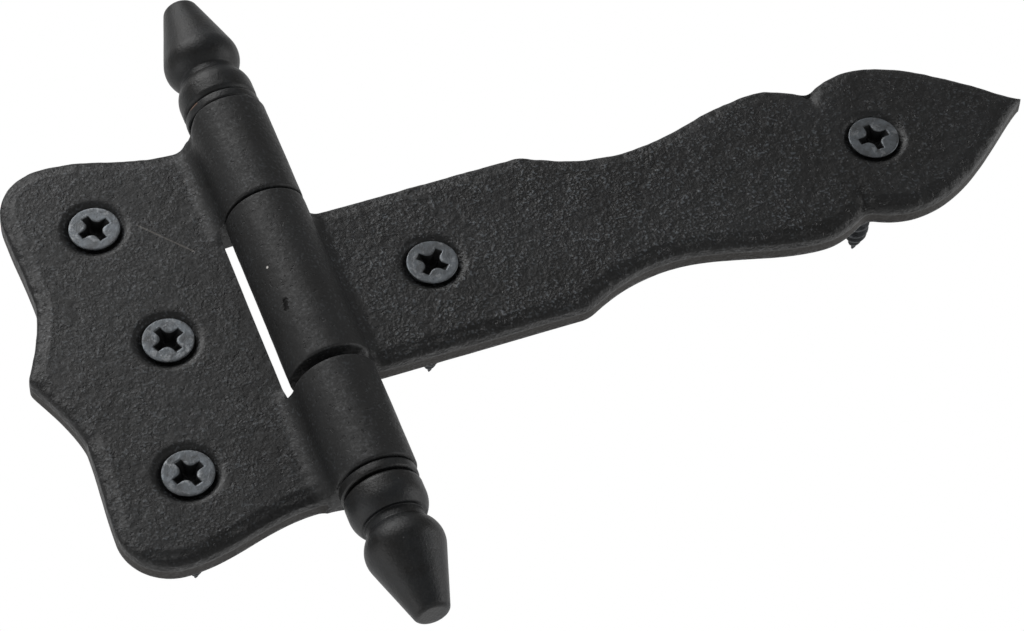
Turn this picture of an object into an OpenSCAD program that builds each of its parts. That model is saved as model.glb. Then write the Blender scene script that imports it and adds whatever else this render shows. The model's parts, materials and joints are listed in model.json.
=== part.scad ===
// T hinge of cast iron for a door, gate or chest lid: a jamb leaf with two
// knuckles, a strap leaf with one, a round pin with a turned finial on each
// end, and five countersunk wood screws.
//
// Each piece is drawn lying on the bench: the leaves' backs on the plane z = 0,
// the strap along +X, the hinge line along Y.  upright() then stands the hinge
// as it hangs on a door: its front faces -Y, its pin is vertical, and the
// origin is on the mounting surface, straight behind the hinge line and level
// with the middle of the jamb leaf.

/* [Leaves] */
// Thickness of both leaves
leaf_t = 4.4; // [3.5:0.1:5.5]
// Width of the worn, rounded border round the front of each leaf
border_w = 2.4; // [1:0.1:3]
// Depth of that border below the flat front
border_d = 1.1; // [0.6:0.1:1.6]
// Width of the small bevel round the back of each leaf
back_bevel = 0.35; // [0.2:0.05:0.6]

/* [Jamb leaf] */
// Hinge line to the point on the outer edge
jamb_reach = 43; // [41:0.5:50]
// Hinge line to the outer edge at the lobes
jamb_lobe_x = 38.4; // [36:0.2:40]
// Hinge line to the hollows between the lobes and the point
jamb_hollow_x = 37.8; // [34:0.2:38]
// Height of those hollows above and below the point
jamb_hollow_y = 13.5; // [10:0.5:18]
// Radius of the rounded outer corners
jamb_corner_r = 8.6; // [7:0.2:12]
// Height of the leaf over its two lobes
jamb_h = 76.5; // [74:0.5:84]
// Height of the leaf at its narrowest, beside the knuckles
jamb_neck_h = 68.8; // [66:0.2:70]
// Hinge line to that narrowest place
jamb_neck_x = 9; // [8.5:0.5:14]

/* [Strap leaf] */
// Hinge line to the tip of the spearhead
strap_reach = 122.5; // [116:0.5:140]
// Width of the strap at its straight root
strap_w = 30.8; // [26:0.2:31]
// Hinge line to the end of the straight root
strap_root_x = 42; // [36:0.5:46]
// Hinge line to the waist
waist_x = 57.5; // [52:0.5:62]
// Width at the waist
waist_w = 21.8; // [16:0.2:25]
// Hinge line to the shoulders beyond the waist
shoulder_x = 82; // [76:0.5:84]
// Width over the shoulders
shoulder_w = 30.4; // [26:0.2:34]
// Hinge line to the two nicks that set off the spearhead
nick_x = 90; // [87:0.5:92]
// Width left between the nicks
nick_w = 24.2; // [20:0.2:26]
// Hinge line to the widest part of the spearhead
spear_x = 97.5; // [95:0.5:102]
// Width of the spearhead
spear_w = 28.8; // [26:0.2:34]

/* [Knuckles and pin] */
// Outside diameter of the knuckles
knuckle_d = 13; // [12:0.1:15]
// Length over the jamb leaf's two knuckles
barrel_l = 71; // [70.8:0.2:78]
// Gap in the jamb leaf for the strap's knuckle
knuckle_gap = 33; // [32.8:0.1:36]
// Length of the strap's knuckle
strap_knuckle_l = 31.2; // [31:0.1:32]
// Play between the upper knuckles
seam = 0.3; // [0.2:0.05:0.6]
// Clearance from the strap's knuckle to the jamb leaf's edge
notch_clear = 0.9; // [0.7:0.1:2.4]
// Radius of the fillet from the knuckles to the jamb leaf
jamb_fillet_r = 3.2; // [2:0.1:4]
// Radius of the fillet from the knuckle to the strap
strap_fillet_r = 2.4; // [1.5:0.1:3.5]
// Diameter of the pin
pin_d = 6; // [5:0.1:7]
// Radial clearance of the pin in the knuckles
pin_clear = 0.08; // [0.04:0.01:0.1]
// Diameter of the pin's threaded ends
stub_d = 5; // [4:0.1:5]
// Length of the pin's threaded ends
stub_l = 9; // [6:0.5:12]

/* [Finials and washers] */
// Diameter of the washers
washer_d = 12.2; // [11:0.1:13]
// Thickness of the washers
washer_t = 1.7; // [1:0.1:2.5]
// Axial play on each side of a washer
washer_play = 0.12; // [0.1:0.01:0.3]
// Diameter of a finial's bead
bead_d = 12.2; // [11.5:0.1:13.5]
// Height of the widest ring of the bead above the finial's seat
bead_h = 2.8; // [2:0.1:3.4]
// Radius of the bead's round in profile
bead_r = 4.6; // [4.2:0.1:5.4]
// Height above the seat where the bead ends in a small shoulder
bead_end = 5.6; // [5:0.1:5.8]
// Diameter of the groove between the bead and the acorn
groove_d = 9.2; // [8:0.1:9.8]
// Diameter of the acorn
acorn_d = 12.3; // [11.5:0.1:13.5]
// Height of the widest ring of the acorn above the seat
acorn_h = 10.4; // [9.8:0.1:11.4]
// Radius of the acorn's round in profile
acorn_r = 4.4; // [4:0.1:5]
// Slope of the acorn's sides, degrees from its axis
acorn_slope = 17.4; // [12:0.1:18]
// Radius of the rounded edge at the top
tip_r = 1; // [0.6:0.1:2]
// Height of the finial above its seat
finial_h = 22.2; // [20:0.1:24]
// Radius of the rounded edge at a finial's seat
seat_r = 1.1; // [0.4:0.1:1.5]

/* [Screws] */
// Diameter of the screw heads
head_d = 8; // [7:0.1:8.6]
// Angle of the countersunk heads
head_angle = 90; // [80:1:100]
// Height of the straight rim of a head
head_rim = 0.3; // [0.2:0.05:0.5]
// Diameter of the screws over the thread
shank_d = 4; // [3:0.1:4.5]
// Length of the screws
screw_l = 30; // [20:1:40]
// Diameter of the plain neck between a head and the thread
neck_d = 3.2; // [2.8:0.1:3.6]
// Length of the neck behind the leaf's back
neck_past = 0.5; // [0.2:0.1:3]
// Length of the screws' point
point_l = 5; // [4:0.5:7]
// Diameter of a countersink at the leaf's front
sink_d = 10.4; // [9.8:0.1:10.8]
// Angle of the countersinks, which are flatter than the heads
sink_angle = 110; // [100:1:118]
// Radial clearance of the screw in its hole
hole_clear = 0.3; // [0.2:0.05:0.5]
// Clearance between the head and the countersink
seat_clear = 0.06; // [0.03:0.01:0.15]
// Span of the cross recess
recess_span = 5; // [3.6:0.1:5.2]
// Width of the cross recess's arms
recess_w = 1.2; // [0.8:0.1:1.4]
// Depth of the cross recess
recess_depth = 1.5; // [1:0.1:1.8]
// Hinge line to the jamb leaf's outer screws
jamb_screw_x = 25.2; // [22:0.2:28]
// Height of those screws above and below the middle one
jamb_screw_y = 23.7; // [21:0.1:26]
// Hinge line to the jamb leaf's middle screw
jamb_middle_x = 20.8; // [18:0.2:30]
// Hinge line to the strap's first screw
strap_screw_1 = 21.8; // [18:0.2:32]
// Hinge line to the strap's second screw
strap_screw_2 = 96.3; // [94:0.1:102]

/* [Hidden] */
IRON = [0.10, 0.10, 0.105];
TURNED = [0.13, 0.13, 0.14];
STEEL = [0.36, 0.39, 0.43];

round_fn = 64;           // facets of a circle on screen
knuckle_r = knuckle_d / 2;
axis_z = knuckle_r;      // the knuckles' backs are flush with the leaves' backs
root_x = knuckle_r / 2;  // where a leaf ends, inside its knuckles
strap_y = knuckle_gap / 2 - seam - strap_knuckle_l / 2;
seat_y = barrel_l / 2 + washer_t + 2 * washer_play;
border_steps = 4;        // rings that round the border
curve_steps = 10;        // points along one stretch of an outline
fillet_sink = 0.15;      // how far a fillet dips into the leaf, so that it crosses its face
jamb_knuckle_l = (barrel_l - knuckle_gap) / 2;
stub_clear = 0.03;       // radial clearance of a finial on its threaded end
stub_spare = 0.5;        // depth left in a finial beyond the threaded end
washer_clear = 0.1;      // radial clearance of a washer on the pin
over = 1;                // how far a cut runs past the piece that it cuts

// ---- curves ----

// Smooth step from 0 to 1, level at both ends
function ease(u) = (1 - cos(180 * u)) / 2;
// Numbers from 0 up to, but not including, 1
function steps(n) = [for (i = [0 : n - 1]) i / n];
function mix(a, b, u) = a + (b - a) * u;

// How sharply a curve turns in: at the point on the jamb leaf's outer edge, at
// its knuckles' ends, at the strap's shoulders and along the spearhead
point_power = 1.4;
neck_power = 2.4;
shoulder_power = 1.7;
spear_power = 1.12;

// Half width of the strap at x: straight root, hollow to the waist, swell to
// the shoulders, nick, and a spearhead that comes to a point
function strap_half(x) =
    x < strap_root_x ? strap_w / 2 :
    x < waist_x ? mix(waist_w, strap_w, pow((waist_x - x) / (waist_x - strap_root_x), 2)) / 2 :
    x < shoulder_x ? mix(waist_w, shoulder_w, ease((x - waist_x) / (shoulder_x - waist_x))) / 2 :
    x < nick_x ? mix(shoulder_w, nick_w,
        pow((x - shoulder_x) / (nick_x - shoulder_x), shoulder_power)) / 2 :
    x < spear_x ? mix(spear_w, nick_w, pow((spear_x - x) / (spear_x - nick_x), 2)) / 2 :
    spear_w / 2 * pow(max(0, cos(90 * (x - spear_x) / (strap_reach - spear_x))), spear_power);

// The stations along the strap, closer together where its edge bends
strap_stops = [root_x, strap_root_x, waist_x, shoulder_x, nick_x, spear_x, strap_reach];
strap_x = concat([root_x], [for (i = [1 : 5]) for (u = steps(curve_steps))
    mix(strap_stops[i], strap_stops[i + 1], u)], [strap_reach]);
strap_edge = [for (x = strap_x) [x, strap_half(x)]];

// Upper half of the jamb leaf's outline, from the point on its outer edge
// round the lobe to the knuckle
jamb_corner = [jamb_corner_r - jamb_lobe_x, jamb_h / 2 - jamb_corner_r];
jamb_edge = concat(
    [for (u = steps(curve_steps))
        [-mix(jamb_hollow_x, jamb_reach, pow(1 - u, point_power)), jamb_hollow_y * u]],
    [for (u = steps(curve_steps))
        [-mix(jamb_hollow_x, jamb_lobe_x, ease(u)), mix(jamb_hollow_y, jamb_corner[1], u)]],
    [for (u = steps(curve_steps))
        jamb_corner + jamb_corner_r * [-cos(90 * u), sin(90 * u)]],
    [for (u = steps(curve_steps))
        [mix(jamb_corner[0], -jamb_neck_x, u), mix(jamb_h, jamb_neck_h, ease(u)) / 2]],
    [for (u = steps(curve_steps))
        [mix(-jamb_neck_x, -knuckle_r, u), mix(jamb_neck_h, barrel_l, pow(u, neck_power)) / 2]],
    [[-knuckle_r, barrel_l / 2], [-root_x, barrel_l / 2]]);
jamb_ring = concat(jamb_edge,
    [for (i = [len(jamb_edge) - 1 : -1 : 1]) [jamb_edge[i][0], -jamb_edge[i][1]]]);
jamb_middle = [-(jamb_reach + root_x) / 2, 0];

// How far a ray from base along the unit vector dir goes before it meets a disc
// of radius r that rolls round inside the edge: the edge moved inwards by r
function reach(base, dir, edge, r) = min([for (p = edge)
    let (d = p - base, off = abs(d[0] * dir[1] - d[1] * dir[0]), along = d * dir)
    if (off <= r && along > 0) along - sqrt(r * r - off * off)]);
function moved_in(base, p, edge, r) =
    r == 0 ? p : let (far = norm(p - base), dir = (p - base) / far)
    base + dir * min(far, reach(base, dir, edge, r));

// The same edge with points close together, for the disc to roll on
function dense(edge, n) = concat([for (i = [0 : len(edge) - 2]) for (u = steps(n))
    mix(edge[i], edge[i + 1], u)], [edge[len(edge) - 1]]);

// Levels of a leaf: [how far its edge lies inside the outline, height]
leaf_levels = concat([[back_bevel, 0], [0, back_bevel]], [for (i = [0 : border_steps])
    let (a = 90 * i / border_steps) [border_w * (1 - cos(a)), leaf_t - border_d * (1 - sin(a))]]);

// Faces that close a ring of n points: a fan round a middle point, which is -1,
// or strips across it from a ring's first half to its second
function fan(n) = [for (i = [0 : n - 1]) [i, (i + 1) % n, -1]];
function strips(n) = concat([for (i = [0 : (n - 5) / 2]) [i, i + 1, n - 2 - i, n - 1 - i]],
    [[(n - 3) / 2, (n - 1) / 2, (n + 1) / 2]]);

// A solid through closed rings of points, one above the other, each running
// clockwise seen from above.  ends are the faces that close a ring, and middle
// is the point that a fan needs.
module skin(rings, ends, middle = [0, 0]) {
    n = len(rings[0]);
    top = (len(rings) - 1) * n;
    poles = top + n;
    walls = [for (k = [0 : len(rings) - 2]) for (i = [0 : n - 1])
        let (j = (i + 1) % n, a = k * n, b = (k + 1) * n)
        each [[a + j, b + j, b + i], [a + j, b + i, a + i]]];
    floor_faces = [for (f = ends) [for (i = [len(f) - 1 : -1 : 0]) f[i] < 0 ? poles : f[i]]];
    roof_faces = [for (f = ends) [for (v = f) v < 0 ? poles + 1 : top + v]];
    polyhedron(points = concat([for (ring = rings) each ring],
            ends[0][2] < 0 ? [[each middle, 0], [each middle, leaf_t]] : []),
        faces = concat(walls, floor_faces, roof_faces));
}

// ---- leaves ----

// Cross-section of the fillet from a knuckle to a leaf that runs along -X
module fillet_section(fillet_r) {
    fillet_z = leaf_t + fillet_r - fillet_sink;
    spread = knuckle_r + fillet_r;
    fillet_x = sqrt(spread * spread - pow(fillet_z - axis_z, 2));
    touch_z = axis_z + (fillet_z - axis_z) * knuckle_r / spread;
    difference() {
        translate([-fillet_x, leaf_t - border_d])
            square([fillet_x, touch_z - leaf_t + border_d]);
        translate([-fillet_x, fillet_z]) circle(r = fillet_r, $fn = round_fn);
    }
}

// A knuckle that starts at y = 0, and the fillet of a leaf along it, which
// starts at fillet_y
module knuckle(length, fillet_y, fillet_l, fillet_r) {
    translate([0, length, axis_z]) rotate([90, 0, 0])
        cylinder(r = knuckle_r, h = length, $fn = round_fn);
    translate([0, fillet_y + fillet_l, 0]) rotate([90, 0, 0])
        linear_extrude(height = fillet_l) fillet_section(fillet_r);
}

// Everything that the pin's bore takes out of a leaf
module pin_bore() {
    translate([0, barrel_l / 2 + over, axis_z]) rotate([90, 0, 0])
        cylinder(r = pin_d / 2 + pin_clear, h = barrel_l + 2 * over, $fn = round_fn);
}

hole_r = shank_d / 2 + hole_clear;
sink_h = (sink_d / 2 - hole_r) / tan(sink_angle / 2);

// A countersunk hole for one screw, at the origin
module screw_hole() {
    translate([0, 0, -over]) cylinder(r = hole_r, h = leaf_t + 2 * over, $fn = round_fn);
    translate([0, 0, leaf_t - sink_h])
        cylinder(r1 = hole_r, r2 = sink_d / 2, h = sink_h, $fn = round_fn);
    translate([0, 0, leaf_t]) cylinder(r = sink_d / 2, h = over, $fn = round_fn);
}

jamb_screws = [[-jamb_screw_x, jamb_screw_y], [-jamb_middle_x, 0], [-jamb_screw_x, -jamb_screw_y]];
strap_screws = [[strap_screw_1, strap_y], [strap_screw_2, strap_y]];

module jamb_plate() {
    roll = dense(jamb_ring, 4);
    skin([for (level = leaf_levels) [for (p = jamb_ring)
        let (q = moved_in(jamb_middle, p, roll, level[0])) [q[0], q[1], level[1]]]],
        fan(len(jamb_ring)), jamb_middle);
}

module strap_plate() {
    roll = dense(strap_edge, 4);
    skin([for (level = leaf_levels) let (
        tip = level[0] == 0 ? strap_reach : spear_x + reach([spear_x, 0], [1, 0], concat(roll,
            [for (p = roll) [p[0], -p[1]]]), level[0]),
        side = [for (x = strap_x) let (sx = mix(root_x, tip, (x - root_x) / (strap_reach - root_x)))
            [sx, x == strap_reach ? 0 :
                level[0] == 0 ? strap_half(sx) : reach([sx, 0], [0, 1], roll, level[0])]])
        concat([for (p = side) [p[0], strap_y + p[1], level[1]]],
            [for (i = [len(side) - 2 : -1 : 0]) [side[i][0], strap_y - side[i][1], level[1]]])],
        strips(2 * len(strap_x) - 1));
}

module jamb_leaf() {
    color(IRON) upright() difference() {
        union() {
            difference() {
                jamb_plate();
                translate([-knuckle_r - notch_clear, -knuckle_gap / 2, -over])
                    cube([knuckle_d, knuckle_gap, leaf_t + 2 * over]);
            }
            for (side = [0, 1]) mirror([0, side, 0]) translate([0, knuckle_gap / 2, 0])
                knuckle(jamb_knuckle_l, 0, jamb_knuckle_l - border_w, jamb_fillet_r);
        }
        pin_bore();
        for (p = jamb_screws) translate(p) screw_hole();
    }
}

module strap_leaf() {
    color(IRON) upright() difference() {
        union() {
            strap_plate();
            translate([0, strap_y - strap_knuckle_l / 2, 0]) mirror([1, 0, 0])
                knuckle(strap_knuckle_l, (strap_knuckle_l - strap_w + border_w) / 2,
                    strap_w - border_w, strap_fillet_r);
        }
        pin_bore();
        for (p = strap_screws) translate(p) screw_hole();
    }
}

// ---- pin, washers and finials ----

// A round piece turned about the hinge line, with its profile's height along +Y
module on_hinge_line(y) {
    translate([0, y, axis_z]) rotate([-90, 0, 0]) children();
}

module hinge_pin() {
    color(STEEL) upright() union() {
        on_hinge_line(-seat_y) cylinder(r = pin_d / 2, h = 2 * seat_y, $fn = round_fn);
        on_hinge_line(-seat_y - stub_l)
            cylinder(r = stub_d / 2, h = 2 * (seat_y + stub_l), $fn = round_fn);
    }
}

// Half profile of a finial, its seat at y = 0
module finial_profile() {
    bead_x = bead_d / 2 - bead_r;
    acorn_x = acorn_d / 2 - acorn_r;
    side_x = acorn_x + acorn_r * cos(acorn_slope);
    side_y = acorn_h + acorn_r * sin(acorn_slope);
    tip_y = finial_h - tip_r;
    tip_x = side_x - (tip_y + tip_r * sin(acorn_slope) - side_y) * tan(acorn_slope)
        - tip_r * cos(acorn_slope);
    intersection() {
        union() {
            intersection() {
                translate([bead_x, bead_h]) circle(r = bead_r, $fn = round_fn);
                square([bead_d, bead_end]);
            }
            square([groove_d / 2, acorn_h]);
            square([bead_d / 2 - seat_r, bead_h]);
            translate([0, seat_r]) square([bead_d / 2, bead_h - seat_r]);
            translate([bead_d / 2 - seat_r, seat_r]) circle(r = seat_r, $fn = round_fn);
            translate([acorn_x, acorn_h]) circle(r = acorn_r, $fn = round_fn);
            polygon([[0, acorn_h], [acorn_x, acorn_h], [side_x, side_y],
                [tip_x + tip_r * cos(acorn_slope), tip_y + tip_r * sin(acorn_slope)],
                [tip_x, finial_h], [0, finial_h]]);
            translate([tip_x, tip_y]) circle(r = tip_r, $fn = round_fn);
        }
        square([bead_d + acorn_d, finial_h]);
    }
}

// A finial with its seat on the plane z = 0 and its threaded hole
module finial() {
    difference() {
        rotate_extrude($fn = round_fn) finial_profile();
        translate([0, 0, -over])
            cylinder(r = stub_d / 2 + stub_clear, h = stub_l + stub_spare + over, $fn = round_fn);
    }
}

module washer() {
    difference() {
        cylinder(r = washer_d / 2, h = washer_t, $fn = round_fn);
        translate([0, 0, -over])
            cylinder(r = pin_d / 2 + washer_clear, h = washer_t + 2 * over, $fn = round_fn);
    }
}

module top_finial() {
    color(TURNED) upright() on_hinge_line(seat_y) finial();
}

module bottom_finial() {
    color(TURNED) upright() mirror([0, 1, 0]) on_hinge_line(seat_y) finial();
}

module top_washer() {
    color(TURNED) upright() on_hinge_line(barrel_l / 2 + washer_play) washer();
}

module bottom_washer() {
    color(TURNED) upright() mirror([0, 1, 0]) on_hinge_line(barrel_l / 2 + washer_play) washer();
}

// ---- screws ----

// A wood screw in its hole at [x, y], with its cross recess turned by turn.
// The head's cone rests on the upper edge of the hole's bore.
module wood_screw(place, turn) {
    cone_h = (head_d - neck_d) / 2 / tan(head_angle / 2);
    face_z = leaf_t - sink_h + (head_d / 2 - hole_r) / tan(head_angle / 2) + head_rim
        + seat_clear / sin(head_angle / 2);
    thread_z = -face_z - neck_past;
    start_h = (shank_d - neck_d) / 2;
    color(STEEL) upright() translate([place[0], place[1], face_z]) difference() {
        union() {
            translate([0, 0, -head_rim]) cylinder(r = head_d / 2, h = head_rim, $fn = round_fn);
            translate([0, 0, -head_rim - cone_h])
                cylinder(r1 = neck_d / 2, r2 = head_d / 2, h = cone_h, $fn = round_fn);
            translate([0, 0, point_l - screw_l])
                cylinder(r = neck_d / 2, h = screw_l - point_l - head_rim, $fn = round_fn);
            translate([0, 0, thread_z - start_h])
                cylinder(r1 = shank_d / 2, r2 = neck_d / 2, h = start_h, $fn = round_fn);
            translate([0, 0, point_l - screw_l])
                cylinder(r = shank_d / 2, h = screw_l - point_l + thread_z - start_h, $fn = round_fn);
            translate([0, 0, -screw_l])
                cylinder(r1 = 0, r2 = shank_d / 2, h = point_l, $fn = round_fn);
        }
        for (a = [0, 90]) rotate(turn + a)
            translate([-recess_span / 2, -recess_w / 2, -recess_depth])
                cube([recess_span, recess_w, recess_depth + over]);
    }
}

module jamb_screw_top() {
    wood_screw(jamb_screws[0], 18);
}

module jamb_screw_middle() {
    wood_screw(jamb_screws[1], 24);
}

module jamb_screw_bottom() {
    wood_screw(jamb_screws[2], 20);
}

module strap_screw_root() {
    wood_screw(strap_screws[0], 46);
}

module strap_screw_tip() {
    wood_screw(strap_screws[1], 4);
}

// Stands the hinge up from the bench
module upright() {
    rotate([90, 0, 0]) children();
}

jamb_leaf();
strap_leaf();
hinge_pin();
top_finial();
bottom_finial();
top_washer();
bottom_washer();
jamb_screw_top();
jamb_screw_middle();
jamb_screw_bottom();
strap_screw_root();
strap_screw_tip();
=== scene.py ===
"""Looks of a black cast T hinge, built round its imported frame.

Every piece is worked out on the bench, in millimetres: the leaves' backs lie
on height 0, "out" runs from the hinge line across a leaf, and "along" runs up
the pin.  ``Shell.piece`` then stands it up in the row frame, in metres.
"""

from __future__ import annotations

import json
import logging
import math
from collections.abc import Callable
from dataclasses import dataclass, field
from enum import Enum
from typing import Any

import bmesh
import bpy
import numpy as np
from mathutils import Matrix, Vector

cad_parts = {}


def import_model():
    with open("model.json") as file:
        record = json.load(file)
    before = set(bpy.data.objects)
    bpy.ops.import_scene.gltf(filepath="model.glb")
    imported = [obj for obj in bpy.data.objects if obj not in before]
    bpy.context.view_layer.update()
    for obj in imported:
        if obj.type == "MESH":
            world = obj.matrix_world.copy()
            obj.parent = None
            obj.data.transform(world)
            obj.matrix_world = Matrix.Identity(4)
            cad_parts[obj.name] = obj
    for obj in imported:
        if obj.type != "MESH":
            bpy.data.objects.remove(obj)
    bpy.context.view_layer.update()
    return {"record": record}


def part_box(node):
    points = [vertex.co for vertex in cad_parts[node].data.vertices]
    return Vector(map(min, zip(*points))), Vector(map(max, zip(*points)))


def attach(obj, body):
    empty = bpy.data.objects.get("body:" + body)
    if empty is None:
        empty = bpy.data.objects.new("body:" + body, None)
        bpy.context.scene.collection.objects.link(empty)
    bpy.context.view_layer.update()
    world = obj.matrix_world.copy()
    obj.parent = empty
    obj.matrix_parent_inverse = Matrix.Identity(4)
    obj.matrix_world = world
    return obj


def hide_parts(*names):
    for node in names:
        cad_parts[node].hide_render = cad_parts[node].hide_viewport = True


LOG = logging.getLogger("t_hinge")
MM = 0.001
FULL_TURN = 2 * math.pi
JOIN_DISTANCE = 0.002
CLOSE = 1e-6
END_COLUMNS = (0.0, 0.15, 0.4, 0.7, 1.1, 1.7)
Array = np.ndarray
Place = tuple[float, float, float]
Layers = tuple[tuple[int, float, float], ...]
Surface = Callable[[Array, Array, Array], Array]


class Slot(Enum):
    """Material slots of the record."""

    LEAF = "black_cast_iron"
    TURNED = "black_turned_iron"
    PIN = "pin_steel"
    SCREW = "screw_steel"


# ---- numbers ----


def ease(u: Array | float) -> Array | float:
    """Smooth step from 0 to 1, level at both ends.

    Args:
        u: Position, which is held between 0 and 1.

    Returns:
        Three u squared less two u cubed.
    """
    held = np.clip(u, 0.0, 1.0)
    return held * held * (3.0 - 2.0 * held)


def mix(a: Any, b: Any, u: Any) -> Any:
    """Value that lies the share u of the way from a to b."""
    return a + (b - a) * u


def way(value: Array | float, low: float, high: float) -> Array:
    """How far a value is on its way from low to high, held between 0 and 1."""
    return np.clip((value - low) / (high - low), 0.0, 1.0)


def unit(vectors: Array) -> Array:
    """Vectors scaled to a length of 1, along the last axis."""
    return vectors / np.linalg.norm(vectors, axis=-1, keepdims=True)


def quarter(count: int) -> Array:
    """Angles of a quarter turn in count steps, in radians."""
    return np.linspace(0.0, math.pi / 2, count + 1)


def circle(angle: Array | float) -> Array:
    """Points (cosine, sine) of the unit circle."""
    return np.stack([np.cos(angle), np.sin(angle)], -1)


def steps(first: Any, last: Any, count: int) -> Array:
    """count + 1 places, or whole rows of places, in even steps from first to last."""
    first = np.asarray(first, float)
    return mix(first, np.asarray(last), np.linspace(0, 1, count + 1).reshape(-1, *[1] * first.ndim))


def arc(centre: Any, radius: float, start: float, end: float, count: int) -> Array:
    """Points of an arc: centre plus radius times (cosine, sine) of even angles.

    Args:
        centre: Middle of the arc.
        radius: Its radius.
        start: First angle in degrees.
        end: Last angle in degrees.
        count: Number of steps.

    Returns:
        An array of count + 1 points.
    """
    return centre + radius * circle(np.radians(np.linspace(start, end, count + 1)))


def bent(first: Array, corner: Array, last: Array, count: int) -> Array:
    """Quadratic curve of count steps from first to last that leans towards corner."""
    u = np.linspace(0.0, 1.0, count + 1)[:, None]
    return (1 - u) ** 2 * first + 2 * u * (1 - u) * corner + u**2 * last


def sag(radius: float, short: Any) -> Any:
    """Radius less the root of its square less the square of short."""
    return radius - np.sqrt(radius**2 - short**2)


def raised(places: Array, height: Any) -> Array:
    """Places (out, along) with a height for each."""
    height = np.broadcast_to(height, places.shape[:-1])
    return np.concatenate([places, height[..., None]], -1)


def around(radius: Array, angle: Array, along: Array, axis_z: float) -> Array:
    """Bench places at a radius and angle round the hinge line, whose height is axis_z."""
    radius, angle, along = np.broadcast_arrays(radius, angle, along)
    return np.stack([radius * np.cos(angle), along, axis_z + radius * np.sin(angle)], -1)


def both_sides(edge: Array) -> Array:
    """Points of an edge and of its mirror image across the leaf's middle line."""
    return np.concatenate([edge, edge * [1, -1]])


def roll(bases: Array, ways: Array, edge: Array, radius: float) -> Array:
    """How far each ray goes before it meets a disc that rolls along an edge.

    Along a ray, the disc round an edge point begins at the point's own place
    on the ray less the root of radius squared less its offset squared.

    Args:
        bases: Starts of the rays.
        ways: Their directions, of length 1.
        edge: Points of the edge, close together.
        radius: Radius of the disc.

    Returns:
        The shortest such length of each ray.
    """
    lag = edge[None] - bases[:, None]
    off = np.abs(lag[..., 0] * ways[:, None, 1] - lag[..., 1] * ways[:, None, 0])
    ahead = np.einsum("ijk,ik->ij", lag, ways)
    met = (off <= radius) & (ahead > 0)
    return np.where(met, ahead - np.sqrt(np.clip(radius**2 - off**2, 0, None)), np.inf).min(axis=1)


def lengths(points: Array) -> Array:
    """Length of a line of points up to each of them."""
    return np.concatenate([[0.0], np.cumsum(np.linalg.norm(np.diff(points, axis=0), axis=1))])


def along_line(points: Array, shares: Array) -> Array:
    """Points at given shares, from 0 to 1, of the length of a line of close points."""
    length = lengths(points)
    return np.stack([np.interp(shares * length[-1], length, side) for side in points.T], -1)


@dataclass(frozen=True)
class Relief:
    """Smooth random relief in space, between -1 and 1.

    A lattice of random values is read at the eight corners round each point,
    and they are mixed by the smooth step of the place between them.
    """

    seed: int
    size: float
    lattice: int = 48

    def __call__(self, points: Array) -> Array:
        """Relief at points.

        Args:
            points: Places in millimetres, one row each.

        Returns:
            One value for each place.
        """
        table = np.random.default_rng(self.seed).uniform(-1.0, 1.0, (self.lattice,) * 3)
        scaled = points / self.size
        cell = np.floor(scaled).astype(int)
        share = ease(scaled - cell)
        total = np.zeros(len(points))
        for corner in range(8):
            step = np.array([corner & 1, corner >> 1 & 1, corner >> 2 & 1])
            weight = np.prod(np.where(step == 1, share, 1.0 - share), axis=1)
            total += weight * table[tuple(((cell + step) % self.lattice).T)]
        return total


def layered(points: Array, layers: Layers) -> Array:
    """Sum of reliefs at points, each given by its seed, its size and its depth."""
    reliefs = (Relief(seed, size)(points) * depth for seed, size, depth in layers)
    return sum(reliefs, np.zeros(len(points)))


# ---- meshes ----


def placed(name: str, data: bpy.types.ID) -> bpy.types.Object:
    """New object of the scene that shows data.

    Args:
        name: Its name.
        data: Mesh, camera or lamp.

    Returns:
        The object.
    """
    made = bpy.data.objects.new(name, data)
    bpy.context.scene.collection.objects.link(made)
    return made


def cells(index: Array) -> Array:
    """Numbers of the four corners of each cell of a grid, whose points' numbers are index."""
    return np.stack([index[:-1, :-1], index[:-1, 1:], index[1:, 1:], index[1:, :-1]], -1)


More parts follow.
